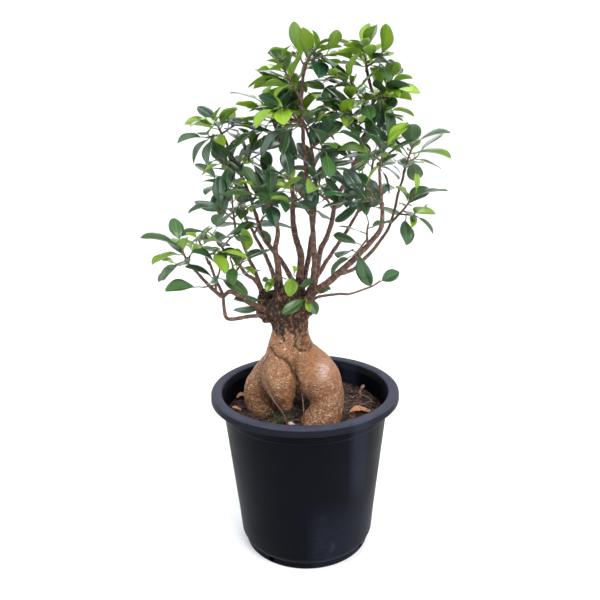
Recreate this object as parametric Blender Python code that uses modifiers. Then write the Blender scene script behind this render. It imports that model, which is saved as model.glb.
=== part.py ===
"""A grafted fig bonsai with a swollen, three-legged root base, standing in a black nursery pot.

The pot, the soil, the root base, every stem and every leafy shoot is an object of its own.
The origin is the middle of the pot's foot, +Z is up, and the front of the tree looks along -Y.
Lengths are written in millimetres and scaled by MM when a mesh is made.
"""

import math
import random

import bmesh
import bpy
from mathutils import Matrix, Vector
from mathutils.bvhtree import BVHTree

MM = 0.001
GAP = 0.3
SEED = 11
OBJECT_NAME = "bonsai_in_pot"

# Pot
POT_HEIGHT = 175.0
RIM_RADIUS = 100.0
LIP_HEIGHT = 8.2
LIP_WALL = 1.6
WALL = 2.0
BODY_TOP_RADIUS = 89.4
BODY_LOW_RADIUS = 72.3
BODY_LOW_HEIGHT = 12.0
FOOT_RADIUS = 68.3
FLOOR_RADIUS = 58.0
FLOOR_HEIGHT = 4.0
PAD_RADIUS = 12.0
BAND_HEIGHT = 153.0
POT_SIDES = 40
DRAIN_HOLES = 4
DRAIN_RADIUS = 4.6
DRAIN_HEIGHT = 3.1
DRAIN_ANGLE = -33.0

# Soil
SOIL_HEIGHT = 149.0
SOIL_CROWN = 3.0
SOIL_RINGS = 5
SOIL_SIDES = 32

# Root base: each leg and stub is a row of balls, (x, y, z, radius), joined into one tapering body.
NECK = [(-15, 1, 262, 20), (-15, 2, 250, 20), (-14, 2, 238, 19), (-13, 0, 226, 19.5), (-11, 0, 214, 18)]
RIGHT_LEG = [
    (-5, -4, 221, 14), (3, -9, 210, 18), (8.5, -13, 202, 21), (13.5, -17, 193, 22.5), (18, -21, 184.5, 21.5),
    (22, -25, 175, 18.5), (22.5, -31, 165, 16.7), (17.5, -36, 155, 18.5), (12, -39, 147, 18.5), (9, -40, 138, 14),
]
MIDDLE_LEG = [
    (-21, 0, 236, 13), (-24, -6, 223, 14), (-27, -12, 209, 15.5), (-27, -17, 195, 18),
    (-24.5, -21, 184, 16.5), (-22, -24, 174, 12.5), (-20, -26, 166, 7),
]
LEFT_LEG = [
    (-22, 3, 230, 12), (-28, 3, 212, 10), (-36, 4, 201, 11.5), (-43, 3, 189, 13.5), (-48, 1, 175, 16.5),
    (-48.5, -2, 162, 16.5), (-43, -7, 150, 14.5), (-37, -10, 140, 10),
]
BACK_LEG = [
    (-10, 8, 234, 14), (-8, 18, 216, 17), (-3, 27, 198, 18), (2, 33, 180, 16), (4, 37, 164, 14),
    (4, 39, 150, 13), (4, 39, 139, 9),
]
BURR_KNOBS = [
    (-38, -4, 262, 11), (-26, -12, 266, 12), (-4, -8, 264, 13), (-2, 8, 268, 12), (-16, 16, 266, 12),
    (-32, 8, 270, 11), (-14, -4, 276, 12), (-18, -19, 262, 8), (-40, -10, 268, 7),
]
STUBS = {
    "left": [(-37, -5, 258, 9), (-41, -7, 270, 7), (-42, -3, 281, 4)],
    "centre": [(-21, -9, 266, 10), (-24, -14, 281, 6.5), (-24, -15, 295, 4)],
    "middle": [(-12, 6, 268, 10), (-6, 13, 281, 6), (-4, 16, 291, 4.2)],
    "right": [(2, -4, 264, 10), (8, -8, 276, 4.5)],
}

# Stems: (name, radius at the foot, radius at the end, points from foot to end).
STEMS = [
    ("leader_stem", 3.1, 1.4, [
        (6, -5, 268), (9, -12, 290), (11, -15, 310), (11, -15, 328), (10, -15, 348), (8, -15, 370),
        (5, -12, 395), (2, -8, 431), (1, -5, 458), (2, -1, 480), (3, -2, 491)]),
    ("right_stem", 3.1, 1.3, [
        (8, 0, 268), (14, 4, 300), (18, 8, 321), (24, 10, 333), (29, 13, 347), (33, 16, 364), (38, 18, 378),
        (47, 20, 394), (55, 22, 410), (62, 22, 430), (68, 20, 451), (70, 15, 467), (66, 12, 484), (63, 10, 495)]),
    ("right_branch", 4.2, 1.2, [
        (-2, -8, 266), (9, -20, 283), (21, -28, 294), (32, -32, 304), (42, -36, 314), (54, -40, 327),
        (64, -42, 338), (72, -42, 349), (74, -42, 360), (73, -40, 376), (72, -36, 394), (71, -34, 404)]),
    ("right_fork", 2.0, 1.1, [
        (36, -33, 306), (48, -26, 308), (59, -22, 317), (71, -16, 328), (84, -10, 345), (90, -8, 362),
        (93, -6, 376), (98, -4, 393), (99, -3, 400)]),
    ("low_right_twig", 1.7, 0.8, [
        (-2, -16, 268), (12, -33, 282), (23, -46, 288), (33, -54, 291), (43, -58, 292), (54, -60, 296),
        (65, -61, 301), (71, -61, 305)]),
    ("low_left_twig", 2.2, 1.2, [
        (-36, -10, 258), (-50, -17, 260), (-64, -25, 260), (-75, -29, 261), (-78, -30, 268), (-79, -30, 285),
        (-86, -32, 306), (-90, -34, 320)]),
    ("left_knob_branch", 3.2, 1.1, [
        (-38, -12, 264), (-52, -24, 275), (-62, -31, 284), (-71, -36, 290), (-78, -40, 287), (-86, -42, 294),
        (-94, -44, 304), (-100, -46, 312), (-106, -46, 320)]),
    ("left_arc_branch", 2.3, 1.2, [
        (-42, -4, 280), (-49, -5, 294), (-57, -10, 301), (-64, -14, 313), (-70, -18, 321), (-76, -20, 328)]),
    ("left_upper_branch", 2.3, 1.2, [
        (-42, -1, 281), (-50, 6, 302), (-56, 8, 315), (-60, 10, 326), (-64, 12, 335), (-68, 10, 345)]),
    ("centre_stem", 3.6, 1.3, [
        (-24, -15, 294), (-25, -16, 314), (-27, -16, 328), (-24, -18, 343), (-25, -20, 353), (-29, -22, 362),
        (-32, -24, 369)]),
    ("middle_stem", 4.0, 1.4, [
        (-4, 16, 288), (-2, 20, 312), (-6, 24, 328), (-9, 28, 341), (-10, 30, 358), (-9, 32, 372),
        (-12, 34, 390), (-17, 34, 411), (-21, 32, 429)]),
    ("upper_left_stem", 2.8, 1.2, [
        (-9, 14, 284), (-22, 25, 306), (-33, 30, 319), (-43, 34, 335), (-49, 38, 354), (-55, 40, 375),
        (-65, 40, 400), (-73, 36, 420), (-79, 34, 436)]),
    ("back_stem", 3.2, 1.2, [
        (-3, 8, 272), (6, 34, 310), (12, 48, 345), (14, 53, 380), (12, 50, 412), (8, 44, 436)]),
    ("back_left_stem", 2.7, 1.1, [
        (-26, 12, 272), (-36, 34, 302), (-52, 54, 330), (-66, 66, 356), (-71, 70, 378)]),
    ("back_right_stem", 2.7, 1.1, [
        (0, 8, 270), (22, 32, 300), (44, 52, 328), (60, 62, 352), (70, 64, 378), (74, 60, 396)]),
]

# Leafy shoots: (name, stem it grows on, freshness of its leaves, twigs); the first twig leaves the stem
# and the others fork off the first. A twig is (leaf count, points).
SHOOTS = [
    ("crown_top", "leader_stem", 0.75, [
        (6, [(3, -2, 488), (6, -4, 500), (14, -8, 511)]), (4, [(5, -3, 495), (-3, 6, 510)]),
        (4, [(7, -4, 501), (24, -13, 505)])]),
    ("crown_left", "leader_stem", 0.7, [
        (6, [(1, -3, 466), (-9, -9, 483), (-18, -14, 499)]), (4, [(-5, -6, 476), (-20, 10, 482)]),
        (3, [(-3, -5, 472), (-6, 18, 486)])]),
    ("top_left", "middle_stem", 0.45, [
        (6, [(-21, 32, 427), (-28, 27, 448), (-38, 22, 466)]), (4, [(-26, 28, 442), (-20, 16, 464)]),
        (4, [(-24, 30, 436), (-45, 20, 446)])]),
    ("right_top", "right_stem", 0.6, [
        (6, [(63, 10, 492), (62, 9, 502), (60, 6, 512)]), (4, [(63, 10, 497), (74, 0, 502)])]),
    ("right_top_outer", "right_stem", 0.4, [
        (5, [(69, 17, 462), (79, 17, 475), (88, 18, 484)]), (3, [(75, 17, 469), (84, 0, 468)])]),
    ("right_top_inner", "right_stem", 0.6, [
        (6, [(69, 18, 456), (56, 8, 470), (47, 0, 484)]), (4, [(54, 7, 473), (35, -6, 487)])]),
    ("middle_top", "right_stem", 0.15, [
        (6, [(60, 22, 423), (51, 6, 447), (45, -8, 463)]), (4, [(54, 11, 438), (31, -12, 455)])]),
    ("right_bright", "right_stem", 0.5, [
        (4, [(66, 21, 444), (76, 15, 451), (84, 12, 456)]), (3, [(73, 17, 448), (92, 34, 440)])]),
    ("leader_right", "leader_stem", 0.15, [
        (5, [(3, -9, 418), (18, -22, 429), (30, -28, 436)]), (3, [(11, -16, 424), (22, -38, 420)])]),
    ("leader_left", "leader_stem", 0.1, [
        (5, [(1, -7, 443), (-10, -18, 456), (-20, -26, 459)]), (3, [(-5, -13, 450), (-14, -30, 442)])]),
    ("low_leader_right", "leader_stem", 0.05, [
        (5, [(5, -12, 391), (19, -26, 402), (30, -32, 411)]), (3, [(12, -19, 397), (15, -44, 387)])]),
    ("low_leader_left", "leader_stem", 0.25, [
        (5, [(8, -15, 369), (-4, -30, 386), (-14, -36, 399)]), (3, [(1, -24, 379), (-11, -46, 374)])]),
    ("right_stem_inner", "right_stem", 0.05, [
        (4, [(32, 15, 361), (24, 2, 373), (16, -6, 381)]), (3, [(28, 8, 367), (20, 18, 384)])]),
    ("right_stem_outer", "right_stem", 0.05, [
        (5, [(43, 19, 387), (55, 30, 392), (63, 38, 397)]), (3, [(49, 25, 390), (54, 44, 374)])]),
    ("right_tip", "right_branch", 0.3, [
        (6, [(71, -34, 402), (74, -36, 416), (77, -38, 427)]), (4, [(73, -35, 411), (60, -46, 420)])]),
    ("outer_top", "right_fork", 0.35, [
        (5, [(99, -3, 398), (103, -4, 414), (107, -6, 425)]), (4, [(101, -3, 407), (114, 8, 413)])]),
    ("outer_middle", "right_fork", 0.3, [
        (5, [(86, -9, 350), (98, -20, 366), (107, -26, 381)]), (4, [(93, -15, 360), (106, -30, 360)])]),
    ("inner_low", "right_branch", 0.1, [
        (5, [(73, -40, 374), (62, -50, 377), (52, -56, 376)]), (3, [(67, -46, 376), (58, -52, 391)])]),
    ("branch_low", "right_branch", 0.15, [
        (3, [(61, -41, 335), (59, -50, 347), (60, -54, 357)]), (4, [(60, -46, 341), (46, -58, 328)])]),
    ("left_top", "upper_left_stem", 0.6, [
        (5, [(-79, 34, 433), (-82, 31, 442), (-86, 26, 450)]), (4, [(-80, 33, 437), (-95, 22, 434)]),
        (4, [(-80, 33, 438), (-64, 26, 447)])]),
    ("left_top_inner", "upper_left_stem", 0.1, [
        (5, [(-65, 40, 400), (-56, 31, 415), (-49, 24, 426)]), (4, [(-60, 35, 408), (-40, 32, 418)])]),
    ("left_middle", "upper_left_stem", 0.1, [
        (5, [(-65, 40, 397), (-74, 30, 406), (-82, 20, 410)]), (3, [(-69, 36, 401), (-70, 22, 388)])]),
    ("left_middle_inner", "upper_left_stem", 0.1, [
        (5, [(-53, 39, 367), (-42, 30, 386), (-34, 24, 397)]), (3, [(-47, 34, 377), (-52, 18, 392)])]),
    ("left_shoulder", "left_upper_branch", 0.45, [
        (5, [(-68, 10, 342), (-69, 5, 362), (-69, 0, 378)]), (4, [(-69, 7, 354), (-82, -6, 368)]),
        (3, [(-69, 7, 356), (-54, -8, 369)])]),
    ("left_arc_tip", "left_arc_branch", 0.3, [
        (5, [(-76, -20, 326), (-81, -26, 338), (-88, -32, 347)]), (4, [(-78, -23, 331), (-67, -37, 344)])]),
    ("centre_left", "centre_stem", 0.35, [
        (5, [(-32, -24, 367), (-37, -32, 381), (-42, -38, 389)]), (3, [(-34, -27, 372), (-28, -44, 380)]),
        (3, [(-33, -26, 370), (-19, -36, 384)])]),
    ("low_left", "low_left_twig", 0.35, [
        (5, [(-90, -34, 317), (-94, -40, 332), (-97, -44, 343)]), (4, [(-92, -37, 325), (-80, -52, 333)])]),
    ("far_left", "left_knob_branch", 0.5, [
        (6, [(-106, -46, 318), (-110, -50, 329), (-112, -54, 340)]), (4, [(-108, -48, 324), (-118, -62, 322)]),
        (4, [(-108, -48, 323), (-104, -32, 332)])]),
    ("knob_upper", "left_knob_branch", 0.25, [
        (5, [(-69, -35, 288), (-67, -33, 304), (-55, -34, 324)]), (3, [(-66, -34, 308), (-68, -46, 326)])]),
    ("knob_lower", "left_knob_branch", 0.35, [
        (4, [(-84, -41, 291), (-82, -46, 304), (-76, -54, 318)]), (2, [(-83, -44, 299), (-94, -56, 300)])]),
    ("back_top", "back_stem", 0.3, [
        (5, [(8, 44, 433), (2, 42, 450), (-6, 38, 468)]), (4, [(6, 43, 440), (24, 48, 456)]),
        (4, [(5, 43, 442), (-10, 56, 446)])]),
    ("back_middle", "back_stem", 0.1, [
        (5, [(14, 53, 386), (26, 64, 398), (38, 66, 410)]), (4, [(20, 59, 392), (8, 80, 400)])]),
    ("back_centre", "back_stem", 0.1, [
        (5, [(12, 48, 346), (0, 62, 362), (-12, 70, 374)]), (3, [(6, 56, 355), (16, 78, 360)])]),
    ("back_left_tip", "back_left_stem", 0.3, [
        (5, [(-71, 70, 375), (-74, 72, 388), (-78, 72, 400)]), (4, [(-72, 71, 380), (-90, 60, 386)])]),
    ("back_left_middle", "back_left_stem", 0.1, [
        (5, [(-53, 55, 331), (-46, 72, 344), (-38, 84, 352)]), (3, [(-50, 62, 337), (-68, 84, 340)])]),
    ("back_right_tip", "back_right_stem", 0.3, [
        (5, [(74, 60, 393), (76, 58, 406), (78, 54, 418)]), (4, [(75, 59, 399), (93, 62, 404)])]),
    ("back_right_middle", "back_right_stem", 0.1, [
        (4, [(60, 62, 352), (74, 70, 360), (84, 74, 368)]), (3, [(66, 66, 355), (60, 86, 366)])]),
]

# Leaves
GOLDEN_ANGLE = math.radians(137.5)
PETIOLE = 7.0
LEAF_LENGTH = (22.0, 32.0)
YOUNG_LENGTH = (13.0, 20.0)
LEAF_WIDTH_RATIO = (0.50, 0.62)
LEAF_KEEL = 1.3
LEAF_TRIES = 14
TWIG_TRIES = 20
TRIM_REACH = 70
TWIG_RADII = (1.3, 0.9)
SIDE_TWIG_RADII = (1.0, 0.8)
PETIOLE_RADIUS = 0.35
WIDEST = 0.55
ROOM_STATIONS = (0.30, 0.68)

# The single leaf at the end of the low twig: foot, tip and width.
END_LEAF = ((71, -61, 304), (87, -63, 313), 13.0)

# A thin aerial root down the middle leg, and the fallen leaves: (x, y, turn, length, width, curl).
AERIAL_ROOT = [(-36, -20, 221), (-43, -27, 208), (-40, -34, 193), (-32, -40, 178), (-22, -42, 163), (-19, -43, 153)]
AERIAL_ROOT_RADIUS = 0.9
FALLEN_LEAVES = [(58, -14, 15, 24, 13, 0.5), (-70, 27, 35, 16, 9, 0.4), (-74, -5, 10, 10, 6, 0.4)]
LITTER_THICKNESS = 1.0

COLOURS = {
    "pot": ((0.012, 0.013, 0.017), 0.38),
    "soil": ((0.045, 0.030, 0.024), 0.95),
    "root_base": ((0.36, 0.18, 0.10), 0.55),
    "stem": ((0.12, 0.055, 0.035), 0.75),
    "leaf": ((0.030, 0.110, 0.030), 0.32),
    "dry_leaf": ((0.38, 0.14, 0.06), 0.80),
}


def principled(name):
    """A material with one Principled shader in the named colour and roughness."""
    colour, roughness = COLOURS[name]
    material = bpy.data.materials.new(name)
    material.use_nodes = True
    shader = material.node_tree.nodes["Principled BSDF"]
    shader.inputs["Base Color"].default_value = (*colour, 1.0)
    shader.inputs["Roughness"].default_value = roughness
    shader.inputs["Metallic"].default_value = 0.0
    return material


def add_object(name, data, colour=None):
    """Link a new object to the tree's collection."""
    item = bpy.data.objects.new(name, data)
    bpy.data.collections[OBJECT_NAME].objects.link(item)
    if colour:
        material = principled(colour)
        material.name = name + "_" + colour
        data.materials.clear()
        data.materials.append(material)
    return item


def evaluated_mesh(item):
    """The mesh that an object's curve or modifiers make, with doubled points welded."""
    depsgraph = bpy.context.evaluated_depsgraph_get()
    mesh = bpy.data.meshes.new_from_object(item.evaluated_get(depsgraph))
    work = bmesh.new()
    work.from_mesh(mesh)
    bmesh.ops.remove_doubles(work, verts=work.verts, dist=0.002 * MM)
    bmesh.ops.dissolve_degenerate(work, edges=work.edges, dist=0.001 * MM)
    work.to_mesh(mesh)
    work.free()
    return mesh


def settle(item, colour=None):
    """Swap an object for a plain mesh object of the same name and shape."""
    name = item.name
    mesh = evaluated_mesh(item)
    mesh.transform(item.matrix_world)
    bpy.data.objects.remove(item)
    mesh.name = name
    return add_object(name, mesh, colour)


def join(target, tools, operation="UNION", solver="EXACT"):
    """Apply one Boolean per tool to the target, and remove the tools."""
    for tool in tools:
        cut = target.modifiers.new(operation.lower(), "BOOLEAN")
        cut.operation = operation
        cut.solver = solver
        cut.object = tool
    bpy.context.view_layer.update()
    mesh = evaluated_mesh(target)
    target.modifiers.clear()
    target.data = mesh
    for tool in tools:
        bpy.data.objects.remove(tool)
    return target


def tree_of(item):
    """A search tree of a mesh object's faces, in millimetres."""
    points = [vertex.co / MM for vertex in item.data.vertices]
    return BVHTree.FromPolygons(points, [tuple(face.vertices) for face in item.data.polygons])


def smooth_route(points, step):
    """Points about a step apart along a Catmull-Rom curve through the given points."""
    knots = [Vector(point) for point in points]
    knots = [2 * knots[0] - knots[1]] + knots + [2 * knots[-1] - knots[-2]]
    route = []
    for a, b, c, d in zip(knots, knots[1:], knots[2:], knots[3:]):
        count = max(1, round((c - b).length / step))
        for i in range(count):
            t = i / count
            route.append(0.5 * (2 * b + (c - a) * t + (2 * a - 5 * b + 4 * c - d) * t**2
                                + (3 * b - a - 3 * c + d) * t**3))
    route.append(knots[-2])
    return route


def tube(name, route, radii, sides, colour=None):
    """A tapering round tube along a route, with closed ends."""
    curve = bpy.data.curves.new(name, "CURVE")
    curve.dimensions = "3D"
    curve.bevel_depth = MM
    curve.bevel_resolution = (sides - 4) // 2
    curve.use_fill_caps = True
    spline = curve.splines.new("POLY")
    spline.points.add(len(route) - 1)
    for point, place, radius in zip(spline.points, route, radii):
        point.co = (*(Vector(place) * MM), 1.0)
        point.radius = radius
    item = add_object(name, curve)
    bpy.context.view_layer.update()
    return settle(item, colour)


def taper(start, end, count):
    """Evenly changing radii for a route of a number of points."""
    return [start + (end - start) * i / (count - 1) for i in range(count)]


def ball_row(name, balls, grow, sides=12):
    """A rounded, tapering limb through a row of balls, each (x, y, z, radius)."""
    row = [(*balls[0][:3], balls[0][3])] + list(balls[1:])
    route = []
    radii = []
    first = Vector(row[0][:3])
    start = (first - Vector(row[1][:3])).normalized()
    last = Vector(row[-1][:3])
    end = (last - Vector(row[-2][:3])).normalized()
    for step in (0.9, 0.6):
        route.append(first + start * (row[0][3] + grow) * step)
        radii.append((row[0][3] + grow) * math.sqrt(1 - step * step))
    for ball in row:
        route.append(Vector(ball[:3]))
        radii.append(ball[3] + grow)
    for step in (0.6, 0.9):
        route.append(last + end * (row[-1][3] + grow) * step)
        radii.append((row[-1][3] + grow) * math.sqrt(1 - step * step))
    return tube(name, route, radii, sides)


def knob(name, ball, grow):
    """One round swelling of the burr."""
    work = bmesh.new()
    bmesh.ops.create_icosphere(work, subdivisions=1, radius=(ball[3] + grow) * MM)
    bmesh.ops.translate(work, vec=Vector(ball[:3]) * MM, verts=work.verts)
    mesh = bpy.data.meshes.new(name)
    work.to_mesh(mesh)
    work.free()
    return add_object(name, mesh)


def make_root_base(name, grow, colour=None):
    """The neck, the legs and the burr with its stem stubs, grown together as one body."""
    base = ball_row(name, NECK, grow, 12)
    rows = [RIGHT_LEG, MIDDLE_LEG, LEFT_LEG, BACK_LEG] + list(STUBS.values())
    parts = [ball_row(f"{name}_row_{i}", row, grow, 12 if i < 4 else 8) for i, row in enumerate(rows)]
    parts += [knob(f"{name}_knob_{i}", ball, grow) for i, ball in enumerate(BURR_KNOBS)]
    join(base, parts, solver="MANIFOLD")
    if colour:
        base.data.materials.clear()
        base.data.materials.append(principled(colour))
        base.data.shade_smooth()
    return base


def wall_radius(height):
    """Outer radius of the pot's tapering body at a height."""
    share = (height - BODY_LOW_HEIGHT) / (POT_HEIGHT - BODY_LOW_HEIGHT)
    return BODY_LOW_RADIUS + share * (BODY_TOP_RADIUS - BODY_LOW_RADIUS)


def pot_profile():
    """The pot's wall as one line: across the floor, up the inside, over the rim, down the outside."""
    lip_low = POT_HEIGHT - LIP_HEIGHT
    band = wall_radius(BAND_HEIGHT)
    return [
        (0.0, WALL), (PAD_RADIUS - WALL, WALL), (PAD_RADIUS + WALL, FLOOR_HEIGHT + WALL),
        (FLOOR_RADIUS - 1.0, FLOOR_HEIGHT + WALL), (FLOOR_RADIUS + 2.5, WALL),
        (FOOT_RADIUS - WALL - 0.5, WALL), (FOOT_RADIUS - WALL, 3.5), (BODY_LOW_RADIUS - WALL, 14.0),
        (wall_radius(lip_low) - WALL, lip_low), (BODY_TOP_RADIUS - 0.8, POT_HEIGHT - 1.6),
        (BODY_TOP_RADIUS + 0.8, POT_HEIGHT), (RIM_RADIUS - 1.6, POT_HEIGHT), (RIM_RADIUS - 0.4, POT_HEIGHT - 0.6),
        (RIM_RADIUS, POT_HEIGHT - 2.0), (RIM_RADIUS, lip_low), (RIM_RADIUS - LIP_WALL, lip_low),
        (RIM_RADIUS - LIP_WALL, POT_HEIGHT - WALL), (BODY_TOP_RADIUS + 1.2, POT_HEIGHT - WALL),
        (wall_radius(lip_low) + 0.5, lip_low), (band + 0.5, BAND_HEIGHT), (band, BAND_HEIGHT - 0.8),
        (BODY_LOW_RADIUS, BODY_LOW_HEIGHT), (BODY_LOW_RADIUS - 1.2, 9.0), (FOOT_RADIUS, 7.5),
        (FOOT_RADIUS, 0.8), (FOOT_RADIUS - 0.8, 0.0), (FLOOR_RADIUS + 2.0, 0.0), (FLOOR_RADIUS, FLOOR_HEIGHT),
        (PAD_RADIUS + 3.0, FLOOR_HEIGHT), (PAD_RADIUS, 0.0), (0.0, 0.0),
    ]


def turned(name, profile, sides, colour=None):
    """A closed body turned about the Z axis from a line of (radius, height) points."""
    mesh = bpy.data.meshes.new(name)
    points = [(radius * MM, 0.0, height * MM) for radius, height in profile]
    mesh.from_pydata(points, [(i, i + 1) for i in range(len(points) - 1)], [])
    item = add_object(name, mesh)
    screw = item.modifiers.new("turn", "SCREW")
    screw.axis = "Z"
    screw.steps = sides
    screw.render_steps = sides
    screw.use_merge_vertices = True
    screw.merge_threshold = 0.00001
    bpy.context.view_layer.update()
    return settle(item, colour)


def make_pot():
    """The nursery pot, with drain holes through its lower corner."""
    pot = turned("pot", pot_profile(), POT_SIDES, "pot")
    drills = []
    for i in range(DRAIN_HOLES):
        angle = math.radians(DRAIN_ANGLE + i * 360.0 / DRAIN_HOLES)
        work = bmesh.new()
        bmesh.ops.create_cone(
            work, cap_ends=True, segments=12, radius1=DRAIN_RADIUS * MM, radius2=DRAIN_RADIUS * MM, depth=16 * MM,
            matrix=Matrix.Translation(Vector((FOOT_RADIUS + 2, 0, DRAIN_HEIGHT)) * MM) @ Matrix.Rotation(math.radians(90), 4, "Y"))
        bmesh.ops.rotate(work, verts=work.verts, cent=(0, 0, 0), matrix=Matrix.Rotation(angle, 3, "Z"))
        mesh = bpy.data.meshes.new("drill")
        work.to_mesh(mesh)
        work.free()
        drills.append(add_object(f"drill_{i}", mesh))
    join(pot, drills, "DIFFERENCE")
    pot.data.shade_smooth()
    pot.data.set_sharp_from_angle(angle=math.radians(35))


def soil_height(x, y):
    """Height of the soil's top: a low crown with gentle lumps."""
    away = math.hypot(x, y) / BODY_TOP_RADIUS
    lumps = 0.8 * math.sin(x * 0.13 + 1.0) * math.cos(y * 0.11) + 0.5 * math.sin(x * 0.31) * math.sin(y * 0.27 + 2.0)
    return SOIL_HEIGHT + SOIL_CROWN * (1.0 - away * away) + lumps * (1.0 - away**4)


def make_soil():
    """The soil, filling the pot to below the rim and hollowed where the root base stands in it."""
    side = wall_radius(SOIL_HEIGHT) - WALL - GAP * 2
    top = [(side * i / SOIL_RINGS, SOIL_HEIGHT) for i in range(SOIL_RINGS + 1)]
    low = FLOOR_HEIGHT + WALL + GAP * 2
    profile = top + [(BODY_LOW_RADIUS - WALL - 1.0, 16.0), (FLOOR_RADIUS + 2.0, low), (0.0, low)]
    soil = turned("soil", profile, SOIL_SIDES, "soil")
    for vertex in soil.data.vertices:
        x, y, z = vertex.co / MM
        if z > SOIL_HEIGHT - 1.0:
            vertex.co.z = soil_height(x, y) * MM
    join(soil, [make_root_base("leg_hollow", GAP)], "DIFFERENCE")
    soil.data.shade_smooth()


def ring_is_clear(centre, tangent, radius, solids):
    """Whether a cross-section of a tube lies outside every solid, by at least the gap."""
    side = tangent.orthogonal().normalized()
    other = tangent.cross(side)
    for i in range(8):
        angle = i * math.pi / 4
        rim = centre + (side * math.cos(angle) + other * math.sin(angle)) * radius
        for solid in solids:
            place, normal, _, distance = solid.find_nearest(rim)
            if distance < GAP or (rim - place).dot(normal) < 0:
                return False
    return True


def trimmed(route, radius, solids, spare=0):
    """A route without the stretch at its foot that lies inside the solids, and some spare half-millimetres."""
    fine = smooth_route(route, 0.5)
    start = 0
    for i in range(min(len(fine) - 1, TRIM_REACH)):
        tangent = (fine[i + 1] - fine[i]).normalized()
        if not ring_is_clear(fine[i], tangent, radius, solids):
            start = i + 1
    start += spare
    tangent = (fine[start + 1] - fine[start]).normalized()
    rest = [Vector(point) for point in route]
    return [fine[start]] + [point for point in rest if (point - fine[start]).dot(tangent) > radius * 2]


def make_stems(solids):
    """Every bare stem as a tapering tube that starts just clear of what it grows from."""
    for name, foot, end, points in STEMS:
        others = list(solids.values())
        for spare in range(0, 16, 2):
            route = smooth_route(trimmed(points, foot, others, spare), 14)
            item = tube(name, route, taper(foot, end, len(route)), 6, "stem")
            if not any(tree_of(item).overlap(other) for other in others):
                break
            bpy.data.objects.remove(item)
        else:
            raise ValueError(f"{name} has no room")
        item.data.shade_smooth()
        solids[name] = tree_of(item)


def leaf_width(share):
    """Half of a leaf's width at a share of its length, for a width of one."""
    return 0.5 * math.sin(math.pi * share**0.85) ** 0.8


class Leaf:
    """Where one leaf sits and how it bends."""

    def __init__(self, foot, direction, face, length, width, sag, petiole):
        self.foot = foot
        self.along = direction.normalized()
        self.side = self.along.cross(face).normalized()
        self.up = self.side.cross(self.along)
        self.length = length
        self.width = width
        self.sag = sag
        self.petiole = petiole

    def spine(self, share):
        """A point on the midrib; a share below zero is on the petiole."""
        run = self.petiole + self.length * share if share > 0 else self.petiole * (1 + share)
        total = self.petiole + self.length
        return self.foot + self.along * run - self.up * (self.sag * run * run / total)

    def section(self, share, grow=0.0):
        """The left edge, right edge and keel of the blade at a share of its length."""
        middle = self.spine(share)
        half = self.width * leaf_width(share) + grow
        return [middle - self.side * half, middle + self.side * half, middle - self.up * (LEAF_KEEL + grow)]

    def solid(self):
        """Points and faces of the leaf as one thin closed body, its foot inside the twig."""
        points = [self.foot + self.side * x * PETIOLE_RADIUS + self.up * y * PETIOLE_RADIUS
                  for x, y in ((-1, 0.4), (1, 0.4), (0, -1))]
        points += self.section(WIDEST)
        points.append(self.spine(1.0))
        faces = [(2, 1, 0), (0, 1, 4, 3), (1, 2, 5, 4), (2, 0, 3, 5), (3, 4, 6), (4, 5, 6), (5, 3, 6)]
        return points, faces

    def room(self, start):
        """A slightly fatter leaf, from a share of its petiole on, that has to be free of its neighbours."""
        points = [self.spine(start)]
        for share in ROOM_STATIONS:
            points += self.section(share, 0.6)
            points.append(self.spine(share) + self.up * 0.8)
        points.append(self.spine(1.0) + self.along * 0.6)
        faces = [(0, 1, 4), (0, 4, 2), (0, 2, 3), (0, 3, 1)]
        for a, b in ((1, 4), (4, 2), (2, 3), (3, 1)):
            faces.append((a, b, b + 4, a + 4))
            faces.append((a + 4, b + 4, 9))
        return BVHTree.FromPolygons(points, faces)


def place_leaves(route, count, fresh, draw, own_twigs, others):
    """Leaves in a spiral up one twig, each turned until it is free of its neighbours."""
    leaves = []
    start_turn = draw.uniform(0, math.tau)
    for i in range(count):
        share = 0.985 if i == count - 1 else 0.30 + 0.70 * (i + 0.5) / count
        spot = share * (len(route) - 1)
        low = min(int(spot), len(route) - 2)
        foot = route[low].lerp(route[low + 1], spot - low)
        tangent = (route[low + 1] - route[low]).normalized()
        across = tangent.orthogonal().normalized()
        young = share > 0.72 and draw.random() < fresh
        size = draw.uniform(*(YOUNG_LENGTH if young else LEAF_LENGTH))
        width = size * draw.uniform(*LEAF_WIDTH_RATIO)
        spread = math.radians(72 - 40 * share)
        for attempt in range(LEAF_TRIES):
            turn = start_turn + i * GOLDEN_ANGLE + draw.uniform(-0.4, 0.4) * (1 + attempt * 0.5)
            lean = spread + draw.uniform(-0.15, 0.25) * (1 + attempt * 0.2)
            radial = Matrix.Rotation(turn, 3, tangent) @ across
            direction = tangent * math.cos(lean) + radial * math.sin(lean) + Vector((0, 0, 0.22))
            face = tangent * 0.6 + Vector((0, 0, 0.9)) + radial * draw.uniform(-0.25, 0.25)
            shrink = 1.0 - 0.03 * attempt
            leaf = Leaf(foot, direction, face, size * shrink, width * shrink, draw.uniform(0.05, 0.45),
                        PETIOLE * size / LEAF_LENGTH[1])
            blade = leaf.room(-0.2)
            whole = leaf.room(-0.95)
            if any(blade.overlap(twig) for twig in own_twigs) or any(whole.overlap(other) for other in others):
                continue
            leaves.append(leaf)
            others.append(whole)
            break
    return leaves


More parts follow.
